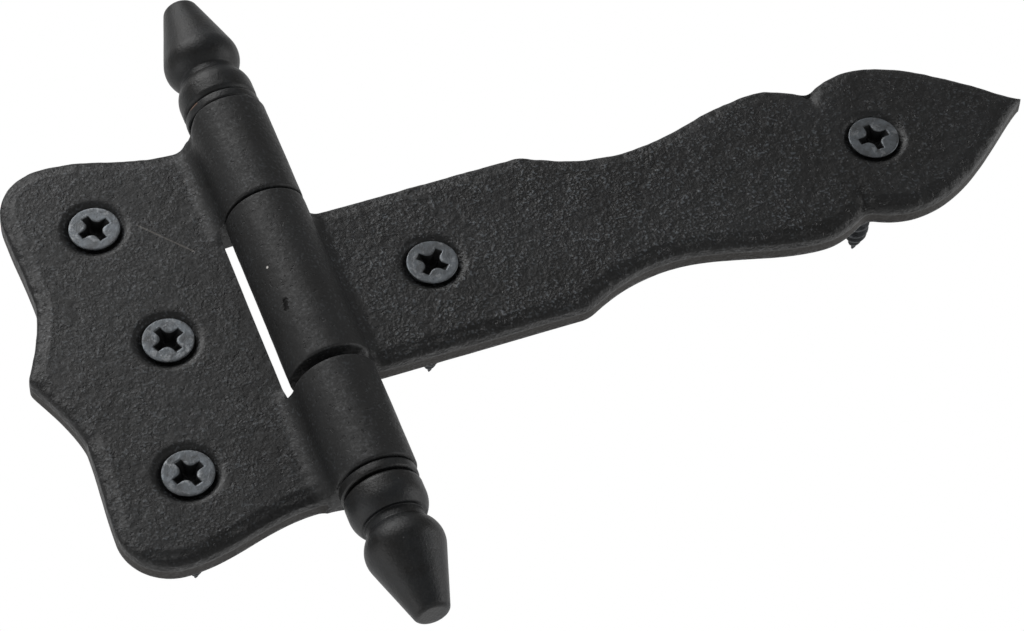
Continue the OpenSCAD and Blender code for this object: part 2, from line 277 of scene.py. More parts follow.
class Shell:
    """Grids of points that are joined where they meet, into one closed mesh."""

    def __init__(self) -> None:
        """Starts with no grid."""
        self.points: list[Array] = []
        self.quads: list[Array] = []
        self.edge: list[Array] = []
        self.count = 0

    def grid(self, points: Array, keep: Array | bool = True, edge: Array | float = 0.0) -> None:
        """Adds a grid, whose cells become faces.

        Args:
            points: Bench places, as rows by columns by 3.
            keep: Which cells to keep, as rows - 1 by columns - 1.
            edge: How far each point counts as worn border, from 0 to 1, and
            from 1 at the brow to 2 at the foot of a side wall; on a screw, how
            much painted shade it gets in its recess and down its hidden shank.
        """
        rows, columns = points.shape[:2]
        index = np.arange(rows * columns).reshape(rows, columns) + self.count
        self.quads.append(cells(index)[keep].reshape(-1, 4))
        self.points.append(points.reshape(-1, 3))
        self.edge.append(np.broadcast_to(edge, (rows, columns)).reshape(-1))
        self.count += rows * columns

    def piece(self, name: str, sharp: float = 40.0, relief: Surface | None = None,
              mirrored: bool = False, along: float = 0.0) -> bpy.types.Object:
        """Joins the grids, stands them up in the row frame and shades them smooth.

        Args:
            name: Name of the new object.
            sharp: Bend in degrees above which an edge stays sharp.
            relief: Gives millimetres outwards for places, border values and normals.
            mirrored: True if out runs along -X.
            along: Shift up the pin, in millimetres.

        Returns:
            The object, with its faces outwards.
        """
        points = np.concatenate(self.points)
        side = -1.0 if mirrored else 1.0
        stood = np.stack([side * points[:, 0], -points[:, 2], points[:, 1] + along], -1) * MM
        mesh = bpy.data.meshes.new(name)
        mesh.from_pydata(stood, [], np.concatenate(self.quads))
        mesh.attributes.new("border", "FLOAT", "POINT").data.foreach_set(
            "value", np.concatenate(self.edge).astype(np.float32))
        joined = bmesh.new()
        joined.from_mesh(mesh)
        bmesh.ops.remove_doubles(joined, verts=joined.verts, dist=JOIN_DISTANCE * MM)
        bmesh.ops.recalc_face_normals(joined, faces=joined.faces)
        joined.to_mesh(mesh)
        joined.free()
        if relief:
            push(mesh, relief)
        mesh.shade_smooth()
        mesh.set_sharp_from_angle(angle=math.radians(sharp))
        return placed(name, mesh)


def push(mesh: bpy.types.Mesh, relief: Surface) -> None:
    """Moves each point of a mesh along its own normal, by its relief.

    Args:
        mesh: Mesh to change.
        relief: Gives millimetres outwards for places, border values and normals.
    """
    places, normals = np.zeros((2, len(mesh.vertices), 3))
    border = np.zeros(len(mesh.vertices))
    mesh.vertices.foreach_get("co", places.ravel())
    mesh.vertex_normals.foreach_get("vector", normals.ravel())
    mesh.attributes["border"].data.foreach_get("value", border)
    height = relief(places / MM, border, normals)
    mesh.vertices.foreach_set("co", (places + normals * height[:, None] * MM).ravel())
    mesh.update()


# ---- shader nodes ----


class Value:
    """A node's output, with the operators that shader maths needs."""

    def __init__(self, maker: Tree, socket: bpy.types.NodeSocket) -> None:
        """Wraps socket, whose tree maker adds to."""
        self.maker = maker
        self.socket = socket

    def _math(self, operation: str, *values: Any) -> Value:
        """Math node of these values."""
        return self.maker.add("ShaderNodeMath", {"operation": operation}, *values)

    def __add__(self, other: Any) -> Value:
        """Sum."""
        return self._math("ADD", self, other)

    def __sub__(self, other: Any) -> Value:
        """Difference."""
        return self._math("SUBTRACT", self, other)

    def __rsub__(self, other: Any) -> Value:
        """Difference from a number."""
        return self._math("SUBTRACT", other, self)

    def __mul__(self, other: Any) -> Value:
        """Product."""
        return self._math("MULTIPLY", self, other)

    __radd__ = __add__
    __rmul__ = __mul__

    def over(self, low: float, high: float) -> Value:
        """0 below low, 1 above high, and smooth between."""
        return self.maker.add("ShaderNodeMapRange", {"interpolation_type": "SMOOTHSTEP"},
                              self, low, high, 0.0, 1.0)

    def under(self, low: float, high: float) -> Value:
        """1 below low, 0 above high, and smooth between."""
        return 1.0 - self.over(low, high)


class Tree:
    """Node tree to which nodes are added one by one."""

    def __init__(self, tree: bpy.types.NodeTree, place: str) -> None:
        """Wraps tree, whose place is this output of the texture coordinates."""
        self.tree = tree
        self.place = self.add("ShaderNodeTexCoord", {}, output=place)

    def add(self, kind: str, settings: dict[str, Any], *inputs: Any,
            output: int | str = 0) -> Value:
        """Adds a node.

        Args:
            kind: Its type.
            settings: Properties that are set first.
            inputs: Values or links for its sockets in order, None to leave one.
            output: Which output to return, by number or name.

        Returns:
            The output.
        """
        node = self.tree.nodes.new(kind)
        for key, setting in settings.items():
            setattr(node, key, setting)
        sockets = [s for s in node.inputs if s.enabled]
        for socket, given in zip(sockets, inputs):
            self.feed(socket, given)
        if isinstance(output, str):
            return Value(self, node.outputs[output])
        return Value(self, [s for s in node.outputs if s.enabled][output])

    def feed(self, socket: bpy.types.NodeSocket, given: Any) -> None:
        """Links or sets one socket.

        Args:
            socket: Input of a node.
            given: Link or value, None to leave the socket.
        """
        if isinstance(given, Value):
            self.tree.links.new(given.socket, socket)
        elif given is not None:
            socket.default_value = given

    def vector(self, operation: str, *inputs: Any) -> Value:
        """Vector Math node of these values."""
        return self.add("ShaderNodeVectorMath", {"operation": operation}, *inputs)

    def higher(self, first: Value, second: Value) -> Value:
        """Higher of two values."""
        return self.add("ShaderNodeMath", {"operation": "MAXIMUM"}, first, second)

    def axis(self, name: str) -> Value:
        """X, Y or Z of the place."""
        return self.add("ShaderNodeSeparateXYZ", {}, self.place, output=name)


class Nodes(Tree):
    """Node tree of one material, whose places are in millimetres."""

    def __init__(self, name: str) -> None:
        """Makes the material and its Principled shader.

        Args:
            name: Name of the material.
        """
        self.material = bpy.data.materials.new(name)
        self.material.use_nodes = True
        self.shader = self.material.node_tree.nodes["Principled BSDF"]
        super().__init__(self.material.node_tree, "Object")
        self.place = self.vector("SCALE", self.place, 1.0 / MM)

    def noise(self, size: float, detail: float = 2.0, rough: float = 0.5) -> Value:
        """Noise whose grains are size millimetres across."""
        return self.add("ShaderNodeTexNoise", {}, self.place, 1.0 / size, detail, rough)

    def cells(self, size: float) -> Value:
        """Distance to the nearest of scattered points, size millimetres apart."""
        return self.add("ShaderNodeTexVoronoi", {}, self.place, 1.0 / size)

    def attribute(self, name: str) -> Value:
        """Value that each point of the mesh carries."""
        return self.add("ShaderNodeAttribute", {"attribute_name": name}, output="Fac")

    def line(self, start: Place, end: Place) -> Value:
        """Distance to a straight line between two places.

        The place on the line is as far along as the dot product of the way
        from its start with the line itself, over its length squared, says.

        Args:
            start: One end in millimetres.
            end: The other end.

        Returns:
            The distance.
        """
        whole = Vector(end) - Vector(start)
        from_start = self.vector("SUBTRACT", self.place, start)
        ahead = self.vector("DOT_PRODUCT", from_start, tuple(whole))
        share = self.add("ShaderNodeMapRange", {}, ahead, 0.0, whole.length_squared, 0.0, 1.0)
        nearest = self.vector("SCALE", tuple(whole), share)
        return self.vector("LENGTH", self.vector("SUBTRACT", from_start, nearest))

    def blend(self, share: Any, first: Any, second: Any) -> Value:
        """Mix of two colours."""
        return self.add("ShaderNodeMix", {"data_type": "RGBA"}, share, first, second)

    def bump(self, height: Value, depth: float) -> Value:
        """Normal of a relief that is depth millimetres deep."""
        return self.add("ShaderNodeBump", {}, 1.0, depth * MM, None, height)

    def coats(self, body: Any, *coats: tuple[Any, Any]) -> Value:
        """Body colour under coats, each a share and a colour, from the lowest to the highest.

        Args:
            body: Lowest colour.
            coats: Share and colour of each coat, from the lowest to the highest.

        Returns:
            The colour that is seen.
        """
        for share, colour in coats:
            body = self.blend(share, body, colour)
        return body

    def finish(self, colour: Any, roughness: Any, normal: Value | None,
               **plain: Any) -> bpy.types.Material:
        """Feeds the shader.

        Args:
            colour: Base colour, or its link.
            roughness: Roughness, or its link.
            normal: Link of the normal.
            plain: Other sockets by name, with _ for a space.

        Returns:
            The material.
        """
        self.feed(self.shader.inputs["Base Color"], colour)
        self.feed(self.shader.inputs["Roughness"], roughness)
        self.feed(self.shader.inputs["Normal"], normal)
        for key, setting in plain.items():
            self.feed(self.shader.inputs[key.replace("_", " ")], setting)
        return self.material


def grey(level: float, warmth: float = 0.0) -> tuple[float, float, float, float]:
    """Near-neutral colour, warmer for a positive warmth and bluer for a negative one."""
    return (level * (1 + warmth), level, level * (1 - warmth), 1.0)


@dataclass(frozen=True)
class CastIron:
    """Satin black paint over sand-cast iron: coarse grain, pits, worn borders and dusty walls,
    with painted glints on the grain, painted shade in the pits and on the borders, and
    painted light from below on the walls.

    Places are in millimetres in the row frame.  A zone is a pair of limits
    between which something sets in: the strap and the spearhead by X, the
    barrel by X squared, brow and wall by the border value.
    """

    level: float = 0.004
    roughness: float = 0.46
    gloss: float = 0.32
    grain_size: float = 0.42
    grain_depth: float = 0.1
    lump_size: float = 1.5
    lump_depth: float = 0.15
    patch_size: float = 11.0
    lively_size: float = 5.0
    speck_size: float = 2.6
    pit_size: float = 0.9
    pit_depth: float = 0.06
    dent_depth: float = 0.3
    strap: tuple[float, float] = (0.0, 16.0)
    spearhead: tuple[float, float] = (66.0, 96.0)
    barrel: tuple[float, float] = (30.0, 110.0)
    brow: tuple[float, float] = (0.15, 0.8)
    # The wall's tone starts part way down the wall, so that its upper part keeps the border's
    # painted shade.
    wall: tuple[float, float] = (1.3, 1.45)
    scratch: tuple[Place, Place] = ((-18.7, -4.4, 22.1), (-12.1, -4.4, 14.6))
    chip: tuple[Place, Place] = ((-4.0, -11.6, 2.9), (-4.0, -11.7, 3.0))
    dent: tuple[Place, Place] = ((-3.5, -12.0, -4.0), (-3.8, -11.8, -5.4))

    def material(self) -> bpy.types.Material:
        """Builds the finish.

        The grain is livelier in broad patches, coarser on the strap than on
        the jamb leaf, and weaker on the spearhead and round the barrel.

        Returns:
            The material.
        """
        n = Nodes("black_cast_iron")
        grain = n.noise(self.grain_size, 1.0, 0.5)
        lump = n.noise(self.lump_size, 2.0, 0.5)
        patch = n.noise(self.patch_size, 3.0, 0.6)
        out = n.axis("X")
        off_barrel = (out * out).over(*self.barrel)
        lively = n.noise(self.lively_size, 2.0).over(0.35, 0.6) * 0.6 + 0.4
        lively = lively * (1.0 - out.over(*self.spearhead) * 0.6) * (off_barrel * 0.65 + 0.35)
        coarse = out.over(*self.strap) * 0.6 + 0.7
        edge = n.attribute("border")
        wall = edge.over(*self.wall)
        border = edge.over(*self.brow) - wall
        pits = n.noise(self.pit_size, 2.0).over(0.62, 0.72)
        # Painted glints on the grain's peaks.
        painted_glints = n.noise(self.grain_size, 0.0).over(0.62, 0.8)
        specks = n.cells(self.speck_size).under(0.03, 0.1) * n.noise(7.0).over(0.5, 0.7)
        scratch = n.line(*self.scratch) + n.noise(self.lump_size) * 0.25
        dent = (n.line(*self.dent) + grain * 0.4).under(0.3, 0.75)
        body = n.coats(
            grey(self.level * 0.8, 0.04),
            (patch.over(0.35, 0.65), grey(self.level * 1.3, -0.04)),
            # Painted highlights on the grain's peaks, then the painted glints above them.
            (grain.over(0.5, 0.7) * lively, grey(self.level * 5.0, -0.06)),
            (painted_glints * lively * coarse, grey(self.level * 14.0, -0.1)),
            (specks * 0.6, grey(0.12, 0.05)),
            # Painted shade in the pits.
            (pits * 0.8, grey(self.level * 0.3)),
            # Painted shade on the rolled border and on the upper part of the side wall.
            (border * 0.6, grey(self.level * 0.6)),
            # Dusty olive tone of the side wall, partly painted light from the floor below.
            (wall * 0.8, grey(self.level * 3.5, 0.15)),
            (scratch.under(0.2, 0.34) * 0.17, grey(0.3, 0.1)),
            (n.line(*self.chip).under(0.1, 0.26), grey(0.45, 0.05)),
            (dent, grey(0.001)))
        relief = grain * self.grain_depth * lively + lump * self.lump_depth - pits * self.pit_depth
        relief = relief * (1.0 - wall * 0.4) * coarse
        relief = relief + lump * border * 0.25 - dent * self.dent_depth
        rough = (1.0 - grain) * 0.3 + patch * 0.15 + (self.roughness - 0.22) + wall * 0.2
        rough = rough + border * 0.04 + (1.0 - off_barrel) * 0.1 + dent * 0.5
        return n.finish(body, rough, n.bump(relief, 1.0), Specular_IOR_Level=self.gloss)


@dataclass(frozen=True)
class TurnedIron:
    """Satin black paint over turned iron, with a few specks and one of rust on the upper washer."""

    level: float = 0.004
    roughness: float = 0.46
    gloss: float = 0.28
    grain_size: float = 0.35
    lump_size: float = 1.4
    patch_size: float = 5.0
    speck_size: float = 1.5
    rust: tuple[Place, Place] = ((-5.2, -9.8, 37.1), (-4.2, -10.9, 37.1))

    def material(self) -> bpy.types.Material:
        """Builds the finish.

        Returns:
            The material.
        """
        n = Nodes("black_turned_iron")
        grain = n.noise(self.grain_size, 3.0, 0.6)
        patch = n.noise(self.patch_size, 3.0, 0.6)
        specks = n.cells(self.speck_size).under(0.04, 0.1) * n.noise(4.0).over(0.5, 0.6)
        rust = n.line(*self.rust) + grain * 0.5
        body = n.coats(
            grey(self.level * 0.7, 0.08),
            (patch.over(0.35, 0.65), grey(self.level * 1.9, -0.12)),
            (grain.over(0.45, 0.75) * 0.6, grey(self.level * 3.0)),
            (specks * 0.5, grey(0.1)),
            (rust.under(0.3, 0.6) * 0.7, (0.13, 0.07, 0.045, 1.0)))
        relief = grain * 0.05 + n.noise(self.lump_size) * 0.06
        rough = grain * 0.15 + patch * 0.15 + (self.roughness - 0.15)
        return n.finish(body, rough, n.bump(relief, 1.0), Specular_IOR_Level=self.gloss)


@dataclass(frozen=True)
class DarkSteel:
    """Blue-grey plated steel of the screws and the pin, with painted shade: black inside a screw's
    recess and dark down its hidden shank.
    """

    name: str
    level: float = 0.1
    roughness: float = 0.42
    metal: float = 0.7
    grain_size: float = 0.25
    lump_size: float = 0.9
    patch_size: float = 2.2
    stain_size: float = 0.8
    shine_size: float = 1.3

    def material(self) -> bpy.types.Material:
        """Builds the finish.

        Returns:
            The material.
        """
        n = Nodes(self.name)
        grain = n.noise(self.grain_size, 3.0, 0.6)
        patch = n.noise(self.patch_size, 3.0, 0.6)
        stain = n.noise(self.stain_size, 4.0, 0.7).over(0.56, 0.7)
        shine = n.noise(self.shine_size, 3.0, 0.7).over(0.54, 0.66)
        # Painted shade: a screw's border value is full in its recess and part on its hidden shank.
        recess = n.attribute("border")
        body = n.coats(
            grey(self.level * 0.7, -0.05),
            (patch.over(0.3, 0.7), grey(self.level * 1.25, -0.1)),
            (stain * 0.6, grey(self.level * 0.3, 0.1)),
            (shine * 0.5, grey(self.level * 2.4, -0.04)),
            # Painted shade, near black, in the recess and on the hidden shank.
            (recess * 0.93, grey(0.002)))
        relief = grain * 0.025 + n.noise(self.lump_size) * 0.05
        rough = grain * 0.2 + patch * 0.1 + (self.roughness - 0.15) + recess * 0.3
        return n.finish(body, rough, n.bump(relief, 1.0), Metallic=self.metal)


# ---- leaves ----


@dataclass
class Hole:
    """Countersunk hole for one screw, at (out, along) on its leaf."""

    out: float
    along: float
    mouth_r: float = 5.2
    bore_r: float = 2.3
    slope: float = 55.0
    soft: float = 0.6
    back_bevel: float = 0.25
    square: float = 0.8
    reach: float = 2.0

    @property
    def middle(self) -> Array:
        """Its middle as a place."""
        return np.array([self.out, self.along])

    @property
    def outer_r(self) -> float:
        """Radius at which the leaf's face starts to bend into the hole."""
        return self.mouth_r + self.soft

    def profile(self, thickness: float) -> Array:
        """Radius and height from the front face, down the hole and out over the back.

        The mouth is a quadratic curve from the flat face to the cone, the
        cone ends at the bore, and the bore has a small bevel at the back.

        Args:
            thickness: Thickness of the leaf.

        Returns:
            One row for each point.
        """
        slope = math.radians(self.slope)
        corner = np.array([self.mouth_r, thickness])
        below = corner - self.soft * np.array([math.sin(slope), math.cos(slope)])
        floor = (self.bore_r, thickness - (self.mouth_r - self.bore_r) / math.tan(slope))
        return np.concatenate([
            bent(np.array([self.outer_r, thickness]), corner, below, 6),
            steps(below, floor, 8)[1:],
            steps(floor, (self.bore_r, self.back_bevel), 5)[1:],
            steps((self.bore_r + self.back_bevel, 0.0), (self.outer_r, 0.0), 6)])

    def nearest(self, grid: Array) -> tuple[int, int]:
        """Row and column of the grid point nearest to the middle."""
        far = np.linalg.norm(grid - self.middle, axis=-1)
        return np.unravel_index(np.argmin(far), far.shape)

    def half_square(self, grid: Array) -> tuple[int, int]:
        """Half sides, in cells, of the square of a grid that the hole takes up.

        Args:
            grid: Points as rows by columns by 2.

        Returns:
            Cells along the rows and along the columns.
        """
        row, column = self.nearest(grid)
        sides = grid[[row + 1, row], [column, column + 1]] - grid[row, column]
        return tuple(round(self.square * self.outer_r / math.hypot(*side)) for side in sides)

    def opened(self, grid: Array, half: tuple[int, int]) -> tuple[Array, Array]:
        """Bends a grid so that a square of its cells becomes the hole's circle.

        A point's place in the square gives an angle and a share m of the
        square's half side; it moves to the circle of radius m times the
        hole's, and the move fades out by m = reach.

        Args:
            grid: Points as rows by columns by 2.
            half: Half sides of the square in cells.

        Returns:
            The bent grid, and which of its cells lie outside the square.
        """
        row, column = np.mgrid[: grid.shape[0], : grid.shape[1]]
        near = self.nearest(grid)
        a, b = (row - near[0]) / half[0], (column - near[1]) / half[1]
        m = np.maximum(np.abs(a), np.abs(b))
        disc = self.middle + self.outer_r * m[..., None] * circle(square_angle(a, b))
        held = m <= 1.0
        inside = held[:-1, :-1] & held[:-1, 1:] & held[1:, :-1] & held[1:, 1:]
        return mix(disc, grid, ease((m - 1.0) / (self.reach - 1.0))[..., None]), ~inside


def square_angle(a: Array, b: Array) -> Array:
    """Angle of a point in a square: 45 degrees times its share of the side it lies towards.

    Args:
        a: Place across the square, from -1 to 1.
        b: Place up the square, from -1 to 1.

    Returns:
        Angle in radians.
    """
    with np.errstate(divide="ignore", invalid="ignore"):
        upright = math.pi / 4 * np.where(a == 0, 0.0, b / a) + math.pi * (a < 0)
        level = math.pi / 2 - math.pi / 4 * np.where(b == 0, 0.0, a / b) + math.pi * (b < 0)
    return np.where(np.abs(a) >= np.abs(b), upright, level)


def square_ring(half: tuple[int, int]) -> Array:
    """Angles of the points round a square of cells, closed.

    Args:
        half: Half sides of the square, in cells.

    Returns:
        Angles in radians, in rising order.
    """
    row, column = np.mgrid[-half[0]: half[0] + 1, -half[1]: half[1] + 1]
    a, b = row / half[0], column / half[1]
    on = np.maximum(np.abs(a), np.abs(b)) == 1.0
    angle = np.sort(square_angle(a[on], b[on]) % FULL_TURN)
    return np.concatenate([angle, angle[:1]])


def across(rim: Array, inner: Array, sign: float = 1.0) -> Array:
    """Values of a border's rings, of the middle and of the other border, along the pin."""
    return np.concatenate([sign * rim, inner[1:-1], rim[::-1]])


@dataclass
class Leaf:
    """A cast leaf: a flat plate with a worn border, and knuckles round the pin.

    out runs from the hinge line across the leaf, along runs up the pin from
    the leaf's own middle line, and height is measured from its back.
    """

    thickness: float = 4.4
    border_w: float = 2.4
    border_d: float = 1.1
    back_bevel: float = 0.35
    knuckle_r: float = 6.5
    barrel: float = 71.0
    gap: float = 0.0
    bore_r: float = 3.08
    bore_bevel: float = 0.3
    fillet_r: float = 3.2
    fillet_fade: float = 2.6
    end_round: float = 0.45
    start: float = 7.4
    cell: float = 0.4
    dense: float = 0.03
    rings: int = 8
    wall_rows: int = 6
    end_rows: int = 6
    bore_rows: int = 7
    lumps: Layers = ((11, 6.0, 0.04), (12, 1.7, 0.018))
    lump_sink: float = 0.06
    waves: Layers = ((13, 1.9, 0.09), (14, 0.9, 0.04))
    wave_sink: float = 0.13
    wave_end: float = 1.2
    wave_rise: float = 2.8
    sharp: float = 38.0
    holes: list[Hole] = field(default_factory=list)

    # -- outline, which each leaf gives --

    def top_edge(self) -> Array:
        """Upper edge from the line at start out to the corner."""
        raise NotImplementedError

    def outer_edge(self, shares: Array) -> Array:
        """Outer edge at shares of its length, from the lower corner to the upper one."""
        raise NotImplementedError

    def rolled_in(self, points: Array, by: float) -> Array:
        """Edge points moved inwards by a disc that rolls round inside the edge."""
        raise NotImplementedError

    def moved_in(self, points: Array, by: float) -> Array:
        """Edge points moved inwards, in proportion where the way is too short to roll a disc.

        Args:
            points: Points of the edge.
            by: How far, in millimetres.

        Returns:
            The moved points.
        """
        least = 0.06
        if by >= least:
            return self.rolled_in(points, by)
        return mix(points, self.rolled_in(points, least), by / least)

    def rise(self, out: Any) -> Any:
        """Height of the fillet above the plate: a circle's sag, nought past its middle."""
        return sag(self.fillet_r, np.clip(self.fillet_out - out, 0.0, self.fillet_r))

    @property
    def fillet_out(self) -> float:
        """Distance of the fillet's middle line from the hinge line."""
        lift = self.thickness + self.fillet_r - self.knuckle_r
        return math.sqrt((self.knuckle_r + self.fillet_r) ** 2 - lift**2)

    def bow(self, centre: Array, radius: float, low: float, high: float) -> Array:
        """Points of an arc from low to high degrees, about a cell apart."""
        rows = round(math.radians(abs(high - low)) * radius / self.cell)
        return arc(centre, radius, low, high, max(4, rows))

    def knuckle_path(self) -> tuple[Array, Array, Array, Array]:
        """Line up the fillet, round the knuckle and back under the plate.

        Returns:
            Points and unit normals as (out, height), then the share of the
            plate's front border and the share of its back at each point.
        """
        lift = self.thickness + self.fillet_r
        centre = np.array([self.fillet_out, lift])
        hub = np.array([0.0, self.knuckle_r])
        first = np.array([self.start, self.thickness + self.rise(self.start)]) - centre
        touch = math.degrees(math.atan2(lift - self.knuckle_r, self.fillet_out))
        low = math.degrees(math.atan2(first[1], first[0])) % 360.0
        fillet = self.bow(centre, self.fillet_r, low, 180.0 + touch)
        barrel = self.bow(hub, self.knuckle_r, touch, 270.0)[1:]
        back = steps((0.0, 0.0), (self.start, 0.0), round(self.start / self.cell))[1:]
        points = np.concatenate([fillet, barrel, back])
        down = 0.0 * back - [0.0, 1.0]
        normals = np.concatenate([unit(centre - fillet), unit(barrel - hub), down])
        length = lengths(points)
        front_run, back_run = 2.2 * self.fillet_r, 0.9 * self.start
        front = 1.0 - ease(length / front_run)
        under = ease((length - length[-1] + back_run) / back_run)
        return points, unit(mix(normals, np.array([0.0, 1.0]), front[:, None])), front, under

    # -- grids --

    def columns(self, last: float) -> Array:
        """Places of the columns on the line at start, from -last to last, in rising order.

        They lie about a cell apart, with closer ones where a knuckle's end is
        rounded.

        Args:
            last: Where the worn border begins.

        Returns:
            The places.
        """
        notch = self.gap / 2
        if notch == 0.0:
            return np.linspace(-last, last, 2 * round(last / self.cell) + 1)
        near = notch + self.end_round * np.array(END_COLUMNS)
        rest = np.linspace(near[-1], last, round((last - near[-1]) / self.cell) + 1)[1:]
        upper = np.concatenate([near, rest])
        middle = np.linspace(-notch, notch, 2 * round(notch / self.cell) + 1)[1:-1]
        return np.concatenate([-upper[::-1], middle, upper])

    def stretched(self, places: Array, old: float, new: float) -> Array:
        """Columns of the knuckles moved so that the last lies at new instead of old.

        Args:
            places: Places of the columns.
            old: Where the last one lies.
            new: Where it is to lie.

        Returns:
            The moved places.
        """
        notch = self.gap / 2
        past = np.abs(places) - notch
        moved = np.sign(places) * (notch + past * ((new - notch) / (old - notch)))
        return np.where(past > 0, moved, places)

    def block(self, ring: Array, shares: Array, places: Array, rows: int) -> Array:
        """Grid that fills a ring: a Coons patch between its four sides.

        Each point is the mix of the lower and upper side, plus the mix of the
        hinge side and outer side, less the mix of the four corners.

        Args:
            ring: Ring of points from the lower end of the hinge side, round
                the leaf, to the upper end.
            shares: Share of each column, from 0 to 1.
            places: Place of each column on the hinge side.
            rows: Cells from the hinge side to the corner.

        Returns:
            Points as rows + 1 by columns by 2.
        """
        lower, upper = ring[: rows + 1], ring[::-1][: rows + 1]
        outer = ring[rows: len(ring) - rows]
        if len(outer) < len(shares):
            outer = np.repeat(lower[-1:], len(shares), axis=0)
        hinge = np.stack([np.full(len(places), self.start), places], -1)
        u = ((lower[:, 0] - self.start) / (lower[-1, 0] - self.start))[:, None, None]
        v = shares[None, :, None]
        sides = mix(lower[:, None], upper[:, None], v) + mix(hinge[None], outer[None], u)
        return sides - mix(mix(lower[0], upper[0], v), mix(lower[-1], upper[-1], v), u)

    def add_block(self, shell: Shell, front: Array, back: Array) -> None:
        """Adds the two faces and the holes between them.

        Args:
            shell: Where they go.
            front: Grid of the front, without heights.
            back: Grid of the back, without heights.
        """
        kept = kept_back = True
        for hole in self.holes:
            half = hole.half_square(front)
            front, outside = hole.opened(front, half)
            back, outside_back = hole.opened(back, half)
            kept, kept_back = kept & outside, kept_back & outside_back
            rows = hole.profile(self.thickness)
            rings = hole.middle + rows[:, None, :1] * circle(square_ring(half))
            shell.grid(raised(rings, rows[:, 1:]))
        past = np.abs(front[..., 1]) - self.gap / 2
        height = self.thickness + self.rise(front[..., 0]) * ease(past / self.fillet_fade + 1.0)
        shell.grid(raised(front, height), kept)
        shell.grid(raised(back, 0.0), kept_back)
        if self.gap > 0:
            notch = past[0] <= CLOSE
            top = raised(front[0, notch], height[0, notch])
            shell.grid(steps(top, top * [1, 1, 0], self.wall_rows))

    def add_knuckle(self, shell: Shell, pick: Array, *lines: tuple[Array, Array]) -> None:
        """Adds one knuckle: its skin, its two ends and its bore.

        The skin follows the knuckle's path.  A column's place and its depth
        below the path are a mix of its values on the three lines.

        Args:
            shell: Where it goes.
            pick: Which columns belong to it.
            lines: Place and depth of each column where the front meets the
                knuckle, on the barrel, and where the back meets it.
        """
        path, normal, fore, under = self.knuckle_path()
        shares = np.stack([fore, 1.0 - fore - under, under], -1)
        places, depths = (shares @ np.stack([line[k][pick] for line in lines]) for k in (0, 1))
        skin = path[:, None] - normal[:, None] * depths[..., None]
        skin = np.stack([skin[..., 0], places, skin[..., 1]], -1)
        worn = np.sqrt(1.0 - (1.0 - lines[0][1][pick] / self.border_d) ** 2)
        shell.grid(skin, edge=fore[:, None] * worn)
        ends, angles = [], []
        for edge in (skin[:, 0], skin[:, -1]):
            loop = np.concatenate([edge, steps(edge[-1], edge[0], self.wall_rows)[1:]])
            ends.append(loop[len(path) // 2, 1])
            angles.append(np.unwrap(np.arctan2(loop[:, 2] - self.knuckle_r, loop[:, 0])))
            mouth = around(self.bore_r + self.bore_bevel, angles[-1], ends[-1], self.knuckle_r)
            shell.grid(steps(loop, mouth, self.end_rows))
        low, high = ends
        down = steps(low + self.bore_bevel, high - self.bore_bevel, self.bore_rows)
        heights = np.concatenate([[low], down, [high]])[:, None]
        radius = self.bore_r + self.bore_bevel * ((heights == low) | (heights == high))
        turn = mix(*angles, (heights - low) / (high - low))
        shell.grid(around(radius, turn, heights, self.knuckle_r))

    def shell(self) -> Shell:
        """Builds the whole leaf.

        Its borders, bevels and rounded ends are quarter ellipses in section.

        Returns:
            Its grids.
        """
        made = Shell()
        turn = quarter(self.rings)
        inwards, down = 1 - np.cos(turn), 1 - np.sin(turn)
        top = self.top_edge()
        last = float(self.moved_in(top[:1], self.border_w)[0, 1])
        places = self.columns(last)
        shares = (places + last) / (2 * last)
        rim = np.concatenate([top * [1, -1], self.outer_edge(shares)[1:-1], top[::-1]])
        front = np.stack([self.moved_in(rim, by) for by in self.border_w * inwards])
        back = np.stack([self.moved_in(rim, by) for by in self.back_bevel * inwards])
        worn = self.border_d * down
        raised_front = raised(front, self.thickness + self.rise(front[..., 0]) - worn[:, None])
        raised_back = raised(back, self.back_bevel * down[:, None])
        made.grid(raised_front, edge=1.0 - inwards[:, None])
        made.grid(raised_back)
        made.grid(steps(raised_front[0], raised_back[0], self.wall_rows),
                  edge=steps(1.0, 2.0, self.wall_rows)[:, None])
        back_places = self.stretched(places, last, float(back[-1, -1, 1]))
        self.add_block(made, self.block(front[-1], shares, places, len(top) - 1),
                       self.block(back[-1], shares, back_places, len(top) - 1))
        half = self.barrel / 2
        barrel_places = self.stretched(places, last, half - self.end_round)
        near = np.clip(np.abs(places) - self.gap / 2, 0.0, self.end_round)
        notch = sag(self.end_round, self.end_round - near) * (self.gap > 0)
        none = 0.0 * places
        lines = [
            (across(front[:, -1, 1], places, -1.0), across(worn, none)),
            (across(half - self.end_round * inwards, barrel_places, -1.0),
             across(self.end_round * down, notch)),
            (across(back[:, -1, 1], back_places, -1.0), across(self.back_bevel * down, none))]
        for side in (-1, 1) if self.gap > 0 else (0,):
            self.add_knuckle(made, side * lines[0][0] >= self.gap / 2 - CLOSE, *lines)
        return made

    def relief(self, places: Array, border: Array, normals: Array) -> Array:
        """Cast surface: wide lumps, and hammered waves along the worn border.

        Args:
            places: Points in millimetres.
            border: How far each counts as border.
            normals: Their normals.

        Returns:
            Millimetres outwards, never above 0.
        """
        front = 1.0 - 0.7 * np.clip(normals[:, 1], 0.0, 1.0)
        worn = np.sqrt(np.clip(border * (self.wave_end - border) * self.wave_rise, 0.0, 1.0))
        wide = (layered(places, self.lumps) - self.lump_sink) * front
        return wide + (layered(places, self.waves) - self.wave_sink) * worn


